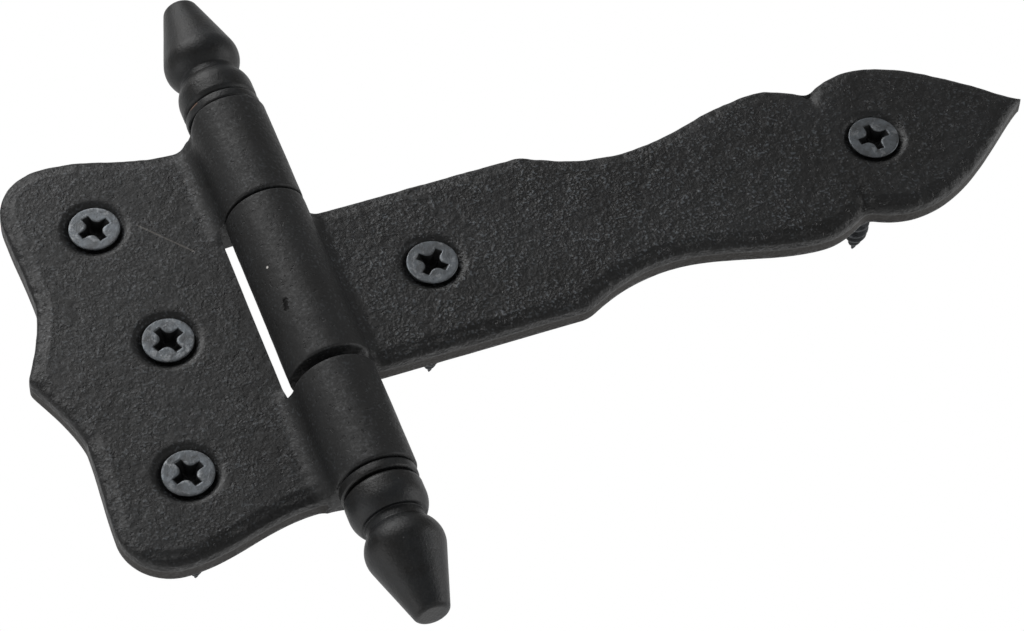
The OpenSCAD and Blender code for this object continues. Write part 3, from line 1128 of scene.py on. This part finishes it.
@dataclass
class JambLeaf(Leaf):
    """Leaf for the frame: two lobes, a point between them and two knuckles."""

    gap: float = 33.0
    reach: float = 43.0
    lobe_out: float = 38.4
    hollow_out: float = 37.8
    hollow_along: float = 13.5
    corner_r: float = 8.6
    height: float = 76.5
    neck_height: float = 68.8
    neck_out: float = 9.0
    point_power: float = 1.4
    neck_power: float = 2.4
    worn: float = 0.05
    fine: int = 1200

    @property
    def corner(self) -> Array:
        """Middle of the upper corner's circle."""
        return np.array([self.lobe_out, self.height / 2]) - self.corner_r

    def half_edge(self) -> tuple[Array, int]:
        """Upper half of the outline, from the point to the knuckle.

        From the point the edge falls to the hollow by a power curve, rises to
        the lobe by a smooth step, goes a quarter turn round the corner, falls
        by a smooth step to the neck and rises by a power curve to the knuckle.

        Returns:
            Its points, and the number of the one halfway round the corner.
        """
        u = np.linspace(0.0, 1.0, self.fine + 1)[:-1]
        blunt = 1 - np.sqrt(u**2 + self.worn**2 * (1 - u) ** 2)
        swell = (1 - np.cos(math.pi * u)) / 2
        corner = self.corner
        stretches = [
            (mix(self.hollow_out, self.reach, blunt**self.point_power), self.hollow_along * u),
            (mix(self.hollow_out, self.lobe_out, swell), mix(self.hollow_along, corner[1], u)),
            arc(corner, self.corner_r, 0.0, 90.0, self.fine)[:-1].T,
            (mix(corner[0], self.neck_out, u), mix(self.height, self.neck_height, swell) / 2),
            (mix(self.neck_out, self.knuckle_r, u),
             mix(self.neck_height, self.barrel, u**self.neck_power) / 2)]
        return np.concatenate([np.stack(pair, -1) for pair in stretches]), 5 * self.fine // 2

    def top_edge(self) -> Array:
        """Upper edge from the line at start out to the corner.

        Returns:
            Points (out, along), about a cell apart.
        """
        edge, corner = self.half_edge()
        line = edge[corner:][::-1]
        first = [self.start, np.interp(self.start, line[:, 0], line[:, 1])]
        apart = 0.01
        line = np.concatenate([[first], line[line[:, 0] > self.start + apart]])
        return along_line(line, np.linspace(0.0, 1.0, round(lengths(line)[-1] / self.cell) + 1))

    def outer_edge(self, shares: Array) -> Array:
        """Outer edge at shares of its length.

        Args:
            shares: From 0 at the lower corner to 1 at the upper one.

        Returns:
            One point for each share.
        """
        edge, corner = self.half_edge()
        side = 2.0 * shares - 1.0
        found = along_line(edge[: corner + 1], np.abs(side))
        return np.stack([found[:, 0], found[:, 1] * np.sign(side)], -1)

    def rolled_in(self, points: Array, by: float) -> Array:
        """Edge points moved inwards, level or upright, and radially in the corners.

        Args:
            points: Points of the edge.
            by: Radius of the disc.

        Returns:
            The moved points.
        """
        corner = self.corner
        bases = np.clip(points, [-np.inf, -corner[1]], corner)
        edge, _ = self.half_edge()
        edge = along_line(edge, np.linspace(0.0, 1.0, int(lengths(edge)[-1] / self.dense)))
        ways = unit(points - bases)
        return bases + ways * roll(bases, ways, both_sides(edge), by)[:, None]


@dataclass
class StrapLeaf(Leaf):
    """Leaf for the door: a straight root, a waist, shoulders and a spearhead."""

    fillet_r: float = 2.4
    barrel: float = 31.2
    reach: float = 122.5
    width: float = 30.8
    root_out: float = 42.0
    waist_out: float = 57.5
    waist_width: float = 21.8
    shoulder_out: float = 82.0
    shoulder_width: float = 30.4
    nick_out: float = 90.0
    nick_width: float = 24.2
    spear_out: float = 97.5
    spear_width: float = 28.8
    shoulder_power: float = 1.7
    spear_power: float = 1.12
    worn: float = 1.2
    crease_l: float = 4.6
    crease_w: float = 0.9
    crease_d: float = 0.85

    @property
    def stops(self) -> list[float]:
        """Distances from the hinge line at which the outline changes."""
        return [self.root_out, self.waist_out, self.shoulder_out, self.nick_out, self.spear_out,
                self.reach]

    def half_width(self, out: Array) -> Array:
        """Half the strap's width with worn corners: its mean over a short stretch to both sides.

        Args:
            out: Distances from the hinge line.

        Returns:
            Half the width at each.
        """
        spread = np.minimum(self.worn, self.reach - out)
        return np.mean([self.sharp_half_width(out + share * spread)
                        for share in np.linspace(-1.0, 1.0, 9)], axis=0)

    def sharp_half_width(self, out: Array) -> Array:
        """Half the strap's width.

        It is straight, then falls by a parabola to the waist, swells by a
        smooth step to the shoulders, falls by a power curve to the nick,
        swells by a parabola to the spearhead, and ends as a power of a cosine.

        Args:
            out: Distances from the hinge line.

        Returns:
            Half the width at each.
        """
        to_waist, to_shoulder, to_nick, to_spear, to_tip = (
            way(out, low, high) for low, high in zip(self.stops, self.stops[1:]))
        swell = (1 - np.cos(math.pi * to_shoulder)) / 2
        widths = [
            mix(self.waist_width, self.width, (1 - to_waist) ** 2),
            mix(self.waist_width, self.shoulder_width, swell),
            mix(self.shoulder_width, self.nick_width, to_nick**self.shoulder_power),
            mix(self.spear_width, self.nick_width, (1 - to_spear) ** 2)]
        tip = self.spear_width * np.clip(np.cos(math.pi / 2 * to_tip), 0, 1) ** self.spear_power
        return np.select([out < stop for stop in self.stops[1:5]], widths, tip) / 2

    def stations(self, cell: float) -> Array:
        """Distances from the line at start to the tip, with one at each change of the outline.

        Args:
            cell: Wanted step between two.

        Returns:
            The distances, in rising order.
        """
        stops = [self.start, *self.stops]
        runs = [np.linspace(a, b, max(2, round((b - a) / cell)) + 1)[:-1]
                for a, b in zip(stops, stops[1:])]
        return np.concatenate([*runs, [self.reach]])

    def top_edge(self) -> Array:
        """Upper edge from the line at start out to the tip."""
        out = self.stations(self.cell)
        return np.stack([out, self.half_width(out)], -1)

    def outer_edge(self, shares: Array) -> Array:
        """The tip, which has no length of its own."""
        return np.array([[self.reach, 0.0]] * 3)

    def rolled_in(self, points: Array, by: float) -> Array:
        """Edge points moved inwards, across the strap, with the tip drawn back along it.

        Args:
            points: Points of the edge.
            by: Radius of the disc.

        Returns:
            The moved points.
        """
        before = np.arange(self.start - 2 * self.border_w, self.start, self.dense)
        out = np.concatenate([before, self.stations(self.dense)])
        edge = np.stack([out, self.half_width(out)], -1)
        middle = np.array([[self.spear_out, 0.0]])
        tip = self.spear_out + roll(middle, np.array([[1.0, 0.0]]), both_sides(edge), by)[0]
        share = (points[:, 0] - self.start) / (self.reach - self.start)
        moved = mix(self.start, tip, share)
        bases = np.stack([moved, 0.0 * moved], -1)
        wide = roll(bases, np.tile([0.0, 1.0], (len(points), 1)), edge, by)
        wide = np.where(share > 1.0 - CLOSE, 0.0, wide)
        return np.stack([moved, np.sign(points[:, 1]) * wide], -1)

    def relief(self, places: Array, border: Array, normals: Array) -> Array:
        """Cast surface, with a shallow crease that runs on from each nick into the face.

        The crease is a bell curve of the distance along the strap, and fades
        by a smooth step from the nick inwards.

        Args:
            places: Points in millimetres.
            border: How far each counts as border.
            normals: Their normals.

        Returns:
            Millimetres outwards, never above 0.
        """
        middle = (places[:, 2].max() + places[:, 2].min()) / 2
        inwards = self.nick_width / 2 - np.abs(places[:, 2] - middle)
        bell = np.exp(-(((places[:, 0] - self.nick_out) / self.crease_w) ** 2))
        front = np.clip(-2.0 * normals[:, 1], 0.0, 1.0)
        crease = bell * (1.0 - ease(inwards / self.crease_l)) * front
        return super().relief(places, border, normals) - self.crease_d * crease


# ---- pin, washers and finials ----


@dataclass
class Turned:
    """Piece turned about the hinge line."""

    columns: int = 128
    sharp: float = 40.0
    relief: Layers = ()

    def profile(self) -> Array:
        """Radius and height of each point."""
        raise NotImplementedError

    def build(self, name: str, axis_z: float, seat: float, sign: float) -> bpy.types.Object:
        """Makes the piece, whose profile's points each go once round the hinge line.

        Args:
            name: Name of the piece.
            axis_z: Bench height of the hinge line.
            seat: Place of height 0 along the hinge line, in millimetres.
            sign: 1 if heights run up the pin, -1 if they run down.

        Returns:
            The piece.
        """
        radius, height = self.profile().T[..., None]
        angle = np.linspace(0.0, FULL_TURN, self.columns + 1)
        angle[-1] = 0.0
        shell = Shell()
        shell.grid(around(radius, angle, seat + sign * height, axis_z))
        sink = sum(depth for _, _, depth in self.relief)
        return shell.piece(name, self.sharp,
                           lambda places, border, normals: layered(places, self.relief) - sink)


@dataclass
class Finial(Turned):
    """Turned finial: a round bead, a groove and an acorn with a blunt tip."""

    bead_width: float = 12.2
    bead_height: float = 2.8
    bead_r: float = 4.6
    bead_end: float = 5.6
    bead_cut: float = 1.5
    groove_r: float = 4.6
    seat_r: float = 1.1
    seat_out: float = 4.2
    acorn_width: float = 12.3
    acorn_height: float = 10.4
    acorn_r: float = 4.4
    acorn_cut: float = 3.0
    slope: float = 17.4
    tip_r: float = 1.0
    height: float = 22.2
    hole_r: float = 2.53
    hole_depth: float = 9.6
    hole_point: float = 1.2
    hole_ring: float = 5.0
    hole_bevel: float = 0.4
    edge_r: float = 0.12
    sharp: float = 50.0
    relief: Layers = ((21, 3.2, 0.02),)

    def hole(self) -> Array:
        """Radius and height of the hole's points, from its pointed end out over the seat.

        Returns:
            One row for each point.
        """
        return np.array([
            [0.0, self.hole_depth + self.hole_point], [self.hole_r, self.hole_depth],
            [self.hole_r, self.hole_ring], [self.hole_r, self.hole_bevel],
            [self.hole_r + self.hole_bevel, 0.0], [self.seat_out, 0.0]])

    def profile(self) -> Array:
        """Radius and height, from the hole's end over the seat to the tip.

        The bead's circle stops at a small shoulder.  A straight groove runs
        from there to the place where the acorn's circle has its radius.

        Returns:
            One row for each point.
        """
        bead = np.array([self.bead_width / 2 - self.bead_r, self.bead_height])
        acorn = np.array([self.acorn_width / 2 - self.acorn_r, self.acorn_height])
        bead_turn = math.asin((self.bead_end - bead[1]) / self.bead_r)
        acorn_turn = math.acos((self.groove_r - acorn[0]) / self.acorn_r)
        brim = bead + self.bead_r * circle(bead_turn)
        shoulder = np.array([self.groove_r, self.bead_end])
        foot = np.array([self.groove_r, acorn[1] - self.acorn_r * math.sin(acorn_turn)])
        side = math.radians(self.slope)
        start = acorn + self.acorn_r * circle(side)
        tip_high = self.height - self.tip_r
        tip_out = start[0] - (tip_high + self.tip_r * math.sin(side) - start[1]) * math.tan(side)
        rim = self.bead_width / 2 - self.seat_r
        seat = arc((rim, self.seat_r), self.seat_r, -90.0, 0.0, 8)
        low = arc(bead, self.bead_r, 0.0, math.degrees(bead_turn) - self.bead_cut, 18)
        high = arc(acorn, self.acorn_r, self.acorn_cut - math.degrees(acorn_turn), self.slope, 24)
        tip = (tip_out - self.tip_r * math.cos(side), tip_high)
        end = arc(tip, self.tip_r, self.slope, 90.0, 10)
        up, inward = self.edge_r * np.eye(2)[::-1]
        return np.concatenate([
            self.hole(), seat, low,
            bent(low[-1], brim, brim - inward, 4)[1:],
            bent(shoulder + inward, shoulder, shoulder + up, 4),
            bent(foot - 2 * up, foot, high[0], 4)[:-1],
            high, steps(high[-1], end[0], 13)[1:-1],
            end, steps(end[-1], (0.0, self.height), 4)[1:]])


@dataclass
class Washer(Turned):
    """Plain washer with rounded edges."""

    outer_r: float = 6.1
    bore_r: float = 3.1
    bore_bevel: float = 0.16
    thickness: float = 1.7
    edge_r: float = 0.4

    def profile(self) -> Array:
        """Radius and height, from the bore over both rims and back.

        Returns:
            One row for each point.
        """
        bevel, rim = self.bore_bevel, self.outer_r - self.edge_r
        bore = [[self.bore_r, bevel], [self.bore_r + bevel, 0.0]]
        low = arc((rim, self.edge_r), self.edge_r, -90.0, 0.0, 6)
        high = arc((rim, self.thickness - self.edge_r), self.edge_r, 0.0, 90.0, 6)
        far = [[self.bore_r + bevel, self.thickness], [self.bore_r, self.thickness - bevel]]
        return np.concatenate([bore, low, high, far, bore[:1]])


@dataclass(frozen=True)
class Thread:
    """Screw thread that runs down a shank."""

    crest_r: float
    core_r: float
    pitch: float
    crest: float = 0.12
    flank: float = 0.26

    def tooth(self, depth: Array, angle: Array) -> Array:
        """Height of the tooth, from 0 to 1.

        The phase is depth by pitch plus angle by a full turn.  The height is
        1 near the middle of a turn and falls in a straight line beside it.

        Args:
            depth: How far down each point lies, in millimetres.
            angle: Its angle in radians.

        Returns:
            One height for each point.
        """
        phase = (depth / self.pitch + angle / FULL_TURN) % 1.0
        return way(np.abs(phase - 0.5), self.crest + self.flank, self.crest)


@dataclass
class HingePin:
    """Plain steel pin with a threaded end for each finial."""

    radius: float = 3.0
    half: float = 37.44
    stub: float = 9.0
    edge: float = 0.35
    worn_l: float = 1.0
    worn_d: float = 0.3
    thread: Thread = Thread(2.5, 2.12, 0.8)
    stub_rows: int = 120
    shank_rows: int = 10
    columns: int = 72

    def build(self, name: str, axis_z: float) -> bpy.types.Object:
        """Makes the pin, with its middle at place 0 of the hinge line.

        Args:
            name: Name of the piece.
            axis_z: Bench height of the hinge line.

        Returns:
            The piece.
        """
        stub = np.linspace(self.half + self.stub, self.half, self.stub_rows)
        half = np.concatenate([stub, [self.half, self.half - self.edge]])
        plain = np.concatenate([0.0 * stub, [self.radius - self.edge, self.radius]])
        shank = steps(half[-1], -half[-1], self.shank_rows + 1)[1:-1]
        level = np.concatenate([half, shank, -half[::-1]])[:, None]
        plain = np.concatenate([plain, 0.0 * shank + self.radius, plain[::-1]])[:, None]
        angle = np.linspace(0.0, FULL_TURN, self.columns + 1)
        worn = np.minimum(1.0, (self.half + self.stub - np.abs(level)) / self.worn_l)
        tooth = self.thread.tooth(level, angle) * worn
        threaded = mix(self.thread.core_r, self.thread.crest_r, tooth) - self.worn_d * (1.0 - worn)
        radius = np.where(plain > 0, plain, threaded)
        shell = Shell()
        ends = ((1, 1), (0, 0))
        shell.grid(around(np.pad(radius, ends), angle, np.pad(level, ends, mode="edge"), axis_z))
        return shell.piece(name)


# ---- screws ----


@dataclass
class WoodScrew:
    """Countersunk wood screw with a cross recess, its face at height 0 of its own axis.

    The rows of the recess, from its floor up, give shares of its depth, of an
    arm's length and of an arm's width.
    """

    head_r: float = 4.0
    rim: float = 0.3
    edge: float = 0.14
    neck_r: float = 1.6
    neck_fillet: float = 0.3
    neck_end: float = 4.75
    neck_past: float = 0.5
    length: float = 30.0
    point: float = 5.0
    point_power: float = 0.9
    thread: Thread = Thread(2.0, 1.3, 1.75)
    thread_start: float = 1.2
    arm_reach: float = 2.5
    arm_half: float = 0.56
    arm_fillet: float = 1.1
    arm_bevel: float = 0.1
    burr: float = 0.03
    burr_fall: float = 5.0
    recess: float = 2.3
    recess_rows: tuple[Place, ...] = (
        (1.0, 0.0, 0.0), (0.93, 0.3, 0.5), (0.8, 0.55, 0.72), (0.6, 0.64, 0.8), (0.4, 0.76, 0.87),
        (0.2, 0.88, 0.94), (0.04, 0.98, 1.0), (0.0, 1.0, 1.0))
    face_rows: int = 7
    row: float = 0.1
    fine: int = 4800
    columns: int = 96
    shaded: float = 0.5
    shade: float = 0.7
    sharp: float = 35.0

    def star(self, reach: float, half: float) -> Array:
        """Outline of the cross recess, closed.

        By angle from an arm's middle line, the radius is the arm's end over
        the cosine, the arm's half width over the sine, or the near crossing
        with the fillet circle between two arms, whichever comes first.

        Args:
            reach: Length of an arm from the middle.
            half: Half its width.

        Returns:
            columns + 1 points, evenly along the outline.
        """
        angle = np.linspace(0.0, FULL_TURN, self.fine + 1)
        near = np.abs((angle + math.pi / 4) % (math.pi / 2) - math.pi / 4)
        middle = half + self.arm_fillet
        ahead = middle * (np.cos(near) + np.sin(near))
        under = np.clip(ahead**2 - 2 * middle**2 + self.arm_fillet**2, 0.0, None)
        side = half / np.maximum(np.sin(near), CLOSE)
        radius = np.where(near > math.atan2(half, middle), ahead - np.sqrt(under),
                          np.minimum(reach / np.cos(near), side))
        return along_line(radius[:, None] * circle(angle), np.linspace(0.0, 1.0, self.columns + 1))

    def surface(self) -> Array:
        """Points of the whole screw, row by row from the recess's floor to the tip.

        Returns:
            Places as rows by columns by 3.
        """
        depths, reach, half = np.array(self.recess_rows).T
        bevel = self.arm_bevel * (depths == 0)
        arms = zip(self.arm_reach * reach[1:] + bevel[1:], self.arm_half * half[1:] + bevel[1:])
        floor = np.stack([np.zeros((self.columns + 1, 2)), *(self.star(*arm) for arm in arms)])
        angle = np.arctan2(floor[-1, :, 1], floor[-1, :, 0])
        ring = circle(angle)
        face = steps(floor[-1], (self.head_r - self.edge) * ring, self.face_rows)[1:]
        burr = self.burr * np.exp(-np.linspace(0, self.burr_fall, self.face_rows + 1)[1:])
        edge = arc((self.head_r - self.edge, -self.edge), self.edge, 90.0, 0.0, 4)[1:]
        cone_end = self.neck_r - self.head_r - self.rim
        cone = steps((self.head_r, -self.rim),
                     (self.neck_r + self.neck_fillet, cone_end + self.neck_fillet), 5)
        neck = [[self.neck_r, cone_end - self.row], [self.neck_r, -self.neck_end]]
        shank = np.concatenate([edge, cone, neck])
        down = np.arange(self.neck_end + self.row, self.length - self.row / 2, self.row)[:, None]
        start = ease((down - self.neck_end) / self.thread_start)
        core = mix(self.neck_r, self.thread.core_r, start)
        radius = mix(core, self.thread.crest_r, self.thread.tooth(down, angle) * start)
        radius = radius * way(self.length - down, 0.0, self.point) ** self.point_power
        places = np.concatenate([floor, face, shank[:, None, :1] * ring, radius[..., None] * ring,
                                 0.0 * ring[None]])
        heights = [-self.recess * depths, burr, shank[:, 1], -down[:, 0], [-self.length]]
        return raised(places, np.concatenate(heights)[:, None])

    def build(self, name: str, out: float, along: float, face: float,
              turn: float) -> bpy.types.Object:
        """Makes one screw.

        Args:
            name: Name of the piece.
            out: Row X of its axis, in millimetres.
            along: Row Z of its axis.
            face: Bench height of its face.
            turn: Angle of the recess in degrees.

        Returns:
            The piece.
        """
        points = self.surface()
        cos, sin = circle(math.radians(turn))
        # Painted shade through the border value: full in the recess, and part on the shank that
        # lies below the head.
        hidden = points[..., 2].mean(axis=1) < -self.shaded - self.rim
        recessed = np.arange(len(points)) < len(self.recess_rows) - 1
        shade = np.where(recessed, 1.0, self.shade * hidden)[:, None]
        spun = raised(points[..., :2] @ np.array([[cos, sin], [-sin, cos]]), points[..., 2])
        shell = Shell()
        shell.grid(spun + [out, along, face], edge=shade)
        return shell.piece(name, self.sharp)


# ---- studio ----


@dataclass
class Studio:
    """Camera below and to the left of the hinge, soft lamps, a white room and a pale floor."""

    place: Place = (-95.76, -443.16, -298.60)
    right: Place = (0.93449, -0.03681, -0.35416)
    up: Place = (0.26903, -0.57842, 0.77010)
    lens: float = 124.37
    aim: Place = (0.04, 0.0, 0.0)
    lamps: tuple[tuple[str, Place, float, float], ...] = (
        ("main", (-0.28, -0.68, 0.96), 0.9, 13.5),
        ("left", (-0.55, -0.1, -0.12), 0.4, 1.1),
        ("right", (0.52, -0.13, -0.12), 0.35, 1.2))
    floor_z: float = -0.45
    floor_half: float = 3.0
    tent: float = 0.32
    opening: float = 0.04
    opening_way: Place = (0.12, -0.97, -0.2)
    opening_edge: tuple[float, float] = (0.55, 0.97)
    wall_edge: tuple[float, float] = (0.0, 0.5)
    glow_start: tuple[float, float] = (100.0, 400.0)

    def camera(self) -> None:
        """Makes the camera."""
        right, up = Vector(self.right).normalized(), Vector(self.up)
        up = (up - up.dot(right) * right).normalized()
        turn = Matrix((right, up, right.cross(up))).transposed().to_4x4()
        data = bpy.data.cameras.new("camera")
        data.lens = self.lens
        made = placed("camera", data)
        made.matrix_world = Matrix.Translation(Vector(self.place) * MM) @ turn
        bpy.context.scene.camera = made

    def lamp(self, name: str, place: Place, size: float, power: float) -> None:
        """Makes a soft square lamp that faces the hinge's middle.

        Args:
            name: Its name.
            place: Where it hangs, in metres.
            size: Length of its sides, in metres.
            power: In watts.
        """
        data = bpy.data.lights.new(name, "AREA")
        data.size, data.energy = size, power
        made = placed(name, data)
        made.location = place
        made.rotation_euler = (Vector(self.aim) - Vector(place)).to_track_quat("-Z", "Y").to_euler()

    def room(self) -> None:
        """Makes a world like a light tent with a dark opening in front and a white wall behind.

        The camera sees white all round.  Reflections see the wall, which fades
        into the tent as their way turns from +Y to level.
        """
        world = bpy.data.worlds.new("room")
        bpy.context.scene.world = world
        world.use_nodes = True
        tree = Tree(world.node_tree, "Generated")
        seen, glossy, through = (tree.add("ShaderNodeLightPath", {}, output=f"Is {kind} Ray")
                                 for kind in ("Camera", "Glossy", "Transmission"))
        towards = tree.vector("DOT_PRODUCT", tree.place, self.opening_way)
        lit = towards.over(*self.opening_edge) * (self.opening - self.tent) + self.tent
        wall = tree.higher(glossy, through) * tree.axis("Y").over(*self.wall_edge)
        white = tree.higher(seen, wall)
        back = world.node_tree.nodes["Background"]
        tree.feed(back.inputs["Color"], grey(1.0))
        tree.feed(back.inputs["Strength"], lit + white * (1.0 - lit))

    def floor(self) -> None:
        """Makes the floor, which glows in reflections from behind the hinge."""
        side = np.linspace(-self.floor_half, self.floor_half, 3)
        places = raised(np.stack(np.meshgrid(side, side, indexing="ij"), -1), self.floor_z)
        facing_up = np.arange(9).reshape(3, 3).T
        mesh = bpy.data.meshes.new("floor")
        mesh.from_pydata(places.reshape(-1, 3), [], cells(facing_up).reshape(-1, 4))
        n = Nodes("pale_floor")
        mirrored = n.add("ShaderNodeLightPath", {}, output="Is Glossy Ray")
        behind = n.axis("Y").over(*self.glow_start)
        glow = n.blend(mirrored * behind, grey(0.0), grey(1.0))
        mesh.materials.append(
            n.finish(grey(0.8), 0.6, None, Emission_Color=glow, Emission_Strength=1.0))
        placed("floor", mesh)

    def build(self) -> None:
        """Makes everything round the object."""
        self.camera()
        for lamp in self.lamps:
            self.lamp(*lamp)
        self.room()
        self.floor()
        bpy.context.scene.view_settings.view_transform = "Standard"


# ---- the hinge ----


@dataclass
class Hinge:
    """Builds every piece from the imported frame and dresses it."""

    record: dict[str, Any]
    turns: dict[str, float] = field(default_factory=lambda: {
        "jamb_screw_top": 18.0, "jamb_screw_middle": 24.0, "jamb_screw_bottom": 20.0,
        "strap_screw_root": 46.0, "strap_screw_tip": 4.0})
    axis_z: float = field(init=False)
    body: dict[str, str] = field(init=False)
    finish: dict[Slot, bpy.types.Material] = field(init=False)

    def __post_init__(self) -> None:
        """Reads the hinge line and makes the finishes."""
        behaviour = self.record["behaviour"]
        swing = next(joint for joint in behaviour["joints"] if joint["name"] == "strap_swing")
        self.axis_z = -swing["pos_m"][1] / MM
        self.body = {node: body for body, nodes in behaviour["bodies"].items() for node in nodes}
        self.finish = {
            Slot.LEAF: CastIron().material(),
            Slot.TURNED: TurnedIron().material(),
            Slot.PIN: DarkSteel("pin_steel").material(),
            Slot.SCREW: DarkSteel("screw_steel").material(),
        }

    @staticmethod
    def limits(node: str) -> tuple[Vector, Vector]:
        """Lowest and highest corner of a CAD node, in millimetres."""
        low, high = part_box(node)
        return low / MM, high / MM

    def dress(self, piece: bpy.types.Object, node: str, slot: Slot) -> None:
        """Gives a piece its finish and lets it stand for its CAD node.

        Args:
            piece: The new piece.
            node: CAD node that it replaces.
            slot: Its material slot.
        """
        piece.data.materials.append(self.finish[slot])
        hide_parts(node)
        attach(piece, self.body[node])
        LOG.info("%s: %d faces, rides on %s", piece.name, len(piece.data.polygons), self.body[node])

    def holes(self, prefix: str, sign: float, along: float) -> list[Hole]:
        """Holes of one leaf, under its screws.

        Args:
            prefix: Start of the screw nodes' names.
            sign: 1 if the leaf runs along +X, -1 if along -X.
            along: Height of the leaf's own middle line.

        Returns:
            One hole for each screw.
        """
        middles = (sum(self.limits(node), Vector()) / 2
                   for node in self.turns if node.startswith(prefix))
        return [Hole(sign * middle.x, middle.z - along) for middle in middles]

    def leaves(self) -> None:
        """Makes both leaves."""
        low, high = self.limits("jamb_leaf")
        jamb = JambLeaf(holes=self.holes("jamb", -1.0, 0.0), reach=-low.x, height=high.z - low.z)
        low, high = self.limits("strap_leaf")
        middle = (low.z + high.z) / 2
        strap = StrapLeaf(holes=self.holes("strap", 1.0, middle), reach=high.x,
                          barrel=high.z - low.z)
        for leaf, node, *place in ((jamb, "jamb_leaf", True, 0.0),
                                   (strap, "strap_leaf", False, middle)):
            made = leaf.shell().piece(f"{node}_cast", leaf.sharp, leaf.relief, *place)
            self.dress(made, node, Slot.LEAF)

    def turned_pieces(self) -> None:
        """Makes the pin, the washers and the finials."""
        pin = HingePin(half=self.limits("hinge_pin")[1].z - HingePin.stub)
        self.dress(pin.build("hinge_pin_steel", self.axis_z), "hinge_pin", Slot.PIN)
        for side, sign in (("top", 1.0), ("bottom", -1.0)):
            for kind, maker in (("washer", Washer()), ("finial", Finial())):
                node = f"{side}_{kind}"
                low, high = self.limits(node)
                seat = low.z if sign > 0 else high.z
                made = maker.build(f"{node}_turned", self.axis_z, seat, sign)
                self.dress(made, node, Slot.TURNED)

    def screws(self) -> None:
        """Makes the five screws."""
        for node, turn in self.turns.items():
            low, high = self.limits(node)
            middle, face = (low + high) / 2, -low.y
            screw = WoodScrew(length=high.y - low.y, neck_end=face + WoodScrew.neck_past)
            made = screw.build(f"{node}_steel", middle.x, middle.z, face, turn)
            self.dress(made, node, Slot.SCREW)


def main() -> None:
    """Loads the frame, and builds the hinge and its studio."""
    logging.basicConfig(level=logging.INFO, format="%(message)s")
    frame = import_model()
    hinge = Hinge(frame["record"])
    hinge.leaves()
    hinge.turned_pieces()
    hinge.screws()
    Studio().build()


if __name__ == "__main__":
    main()
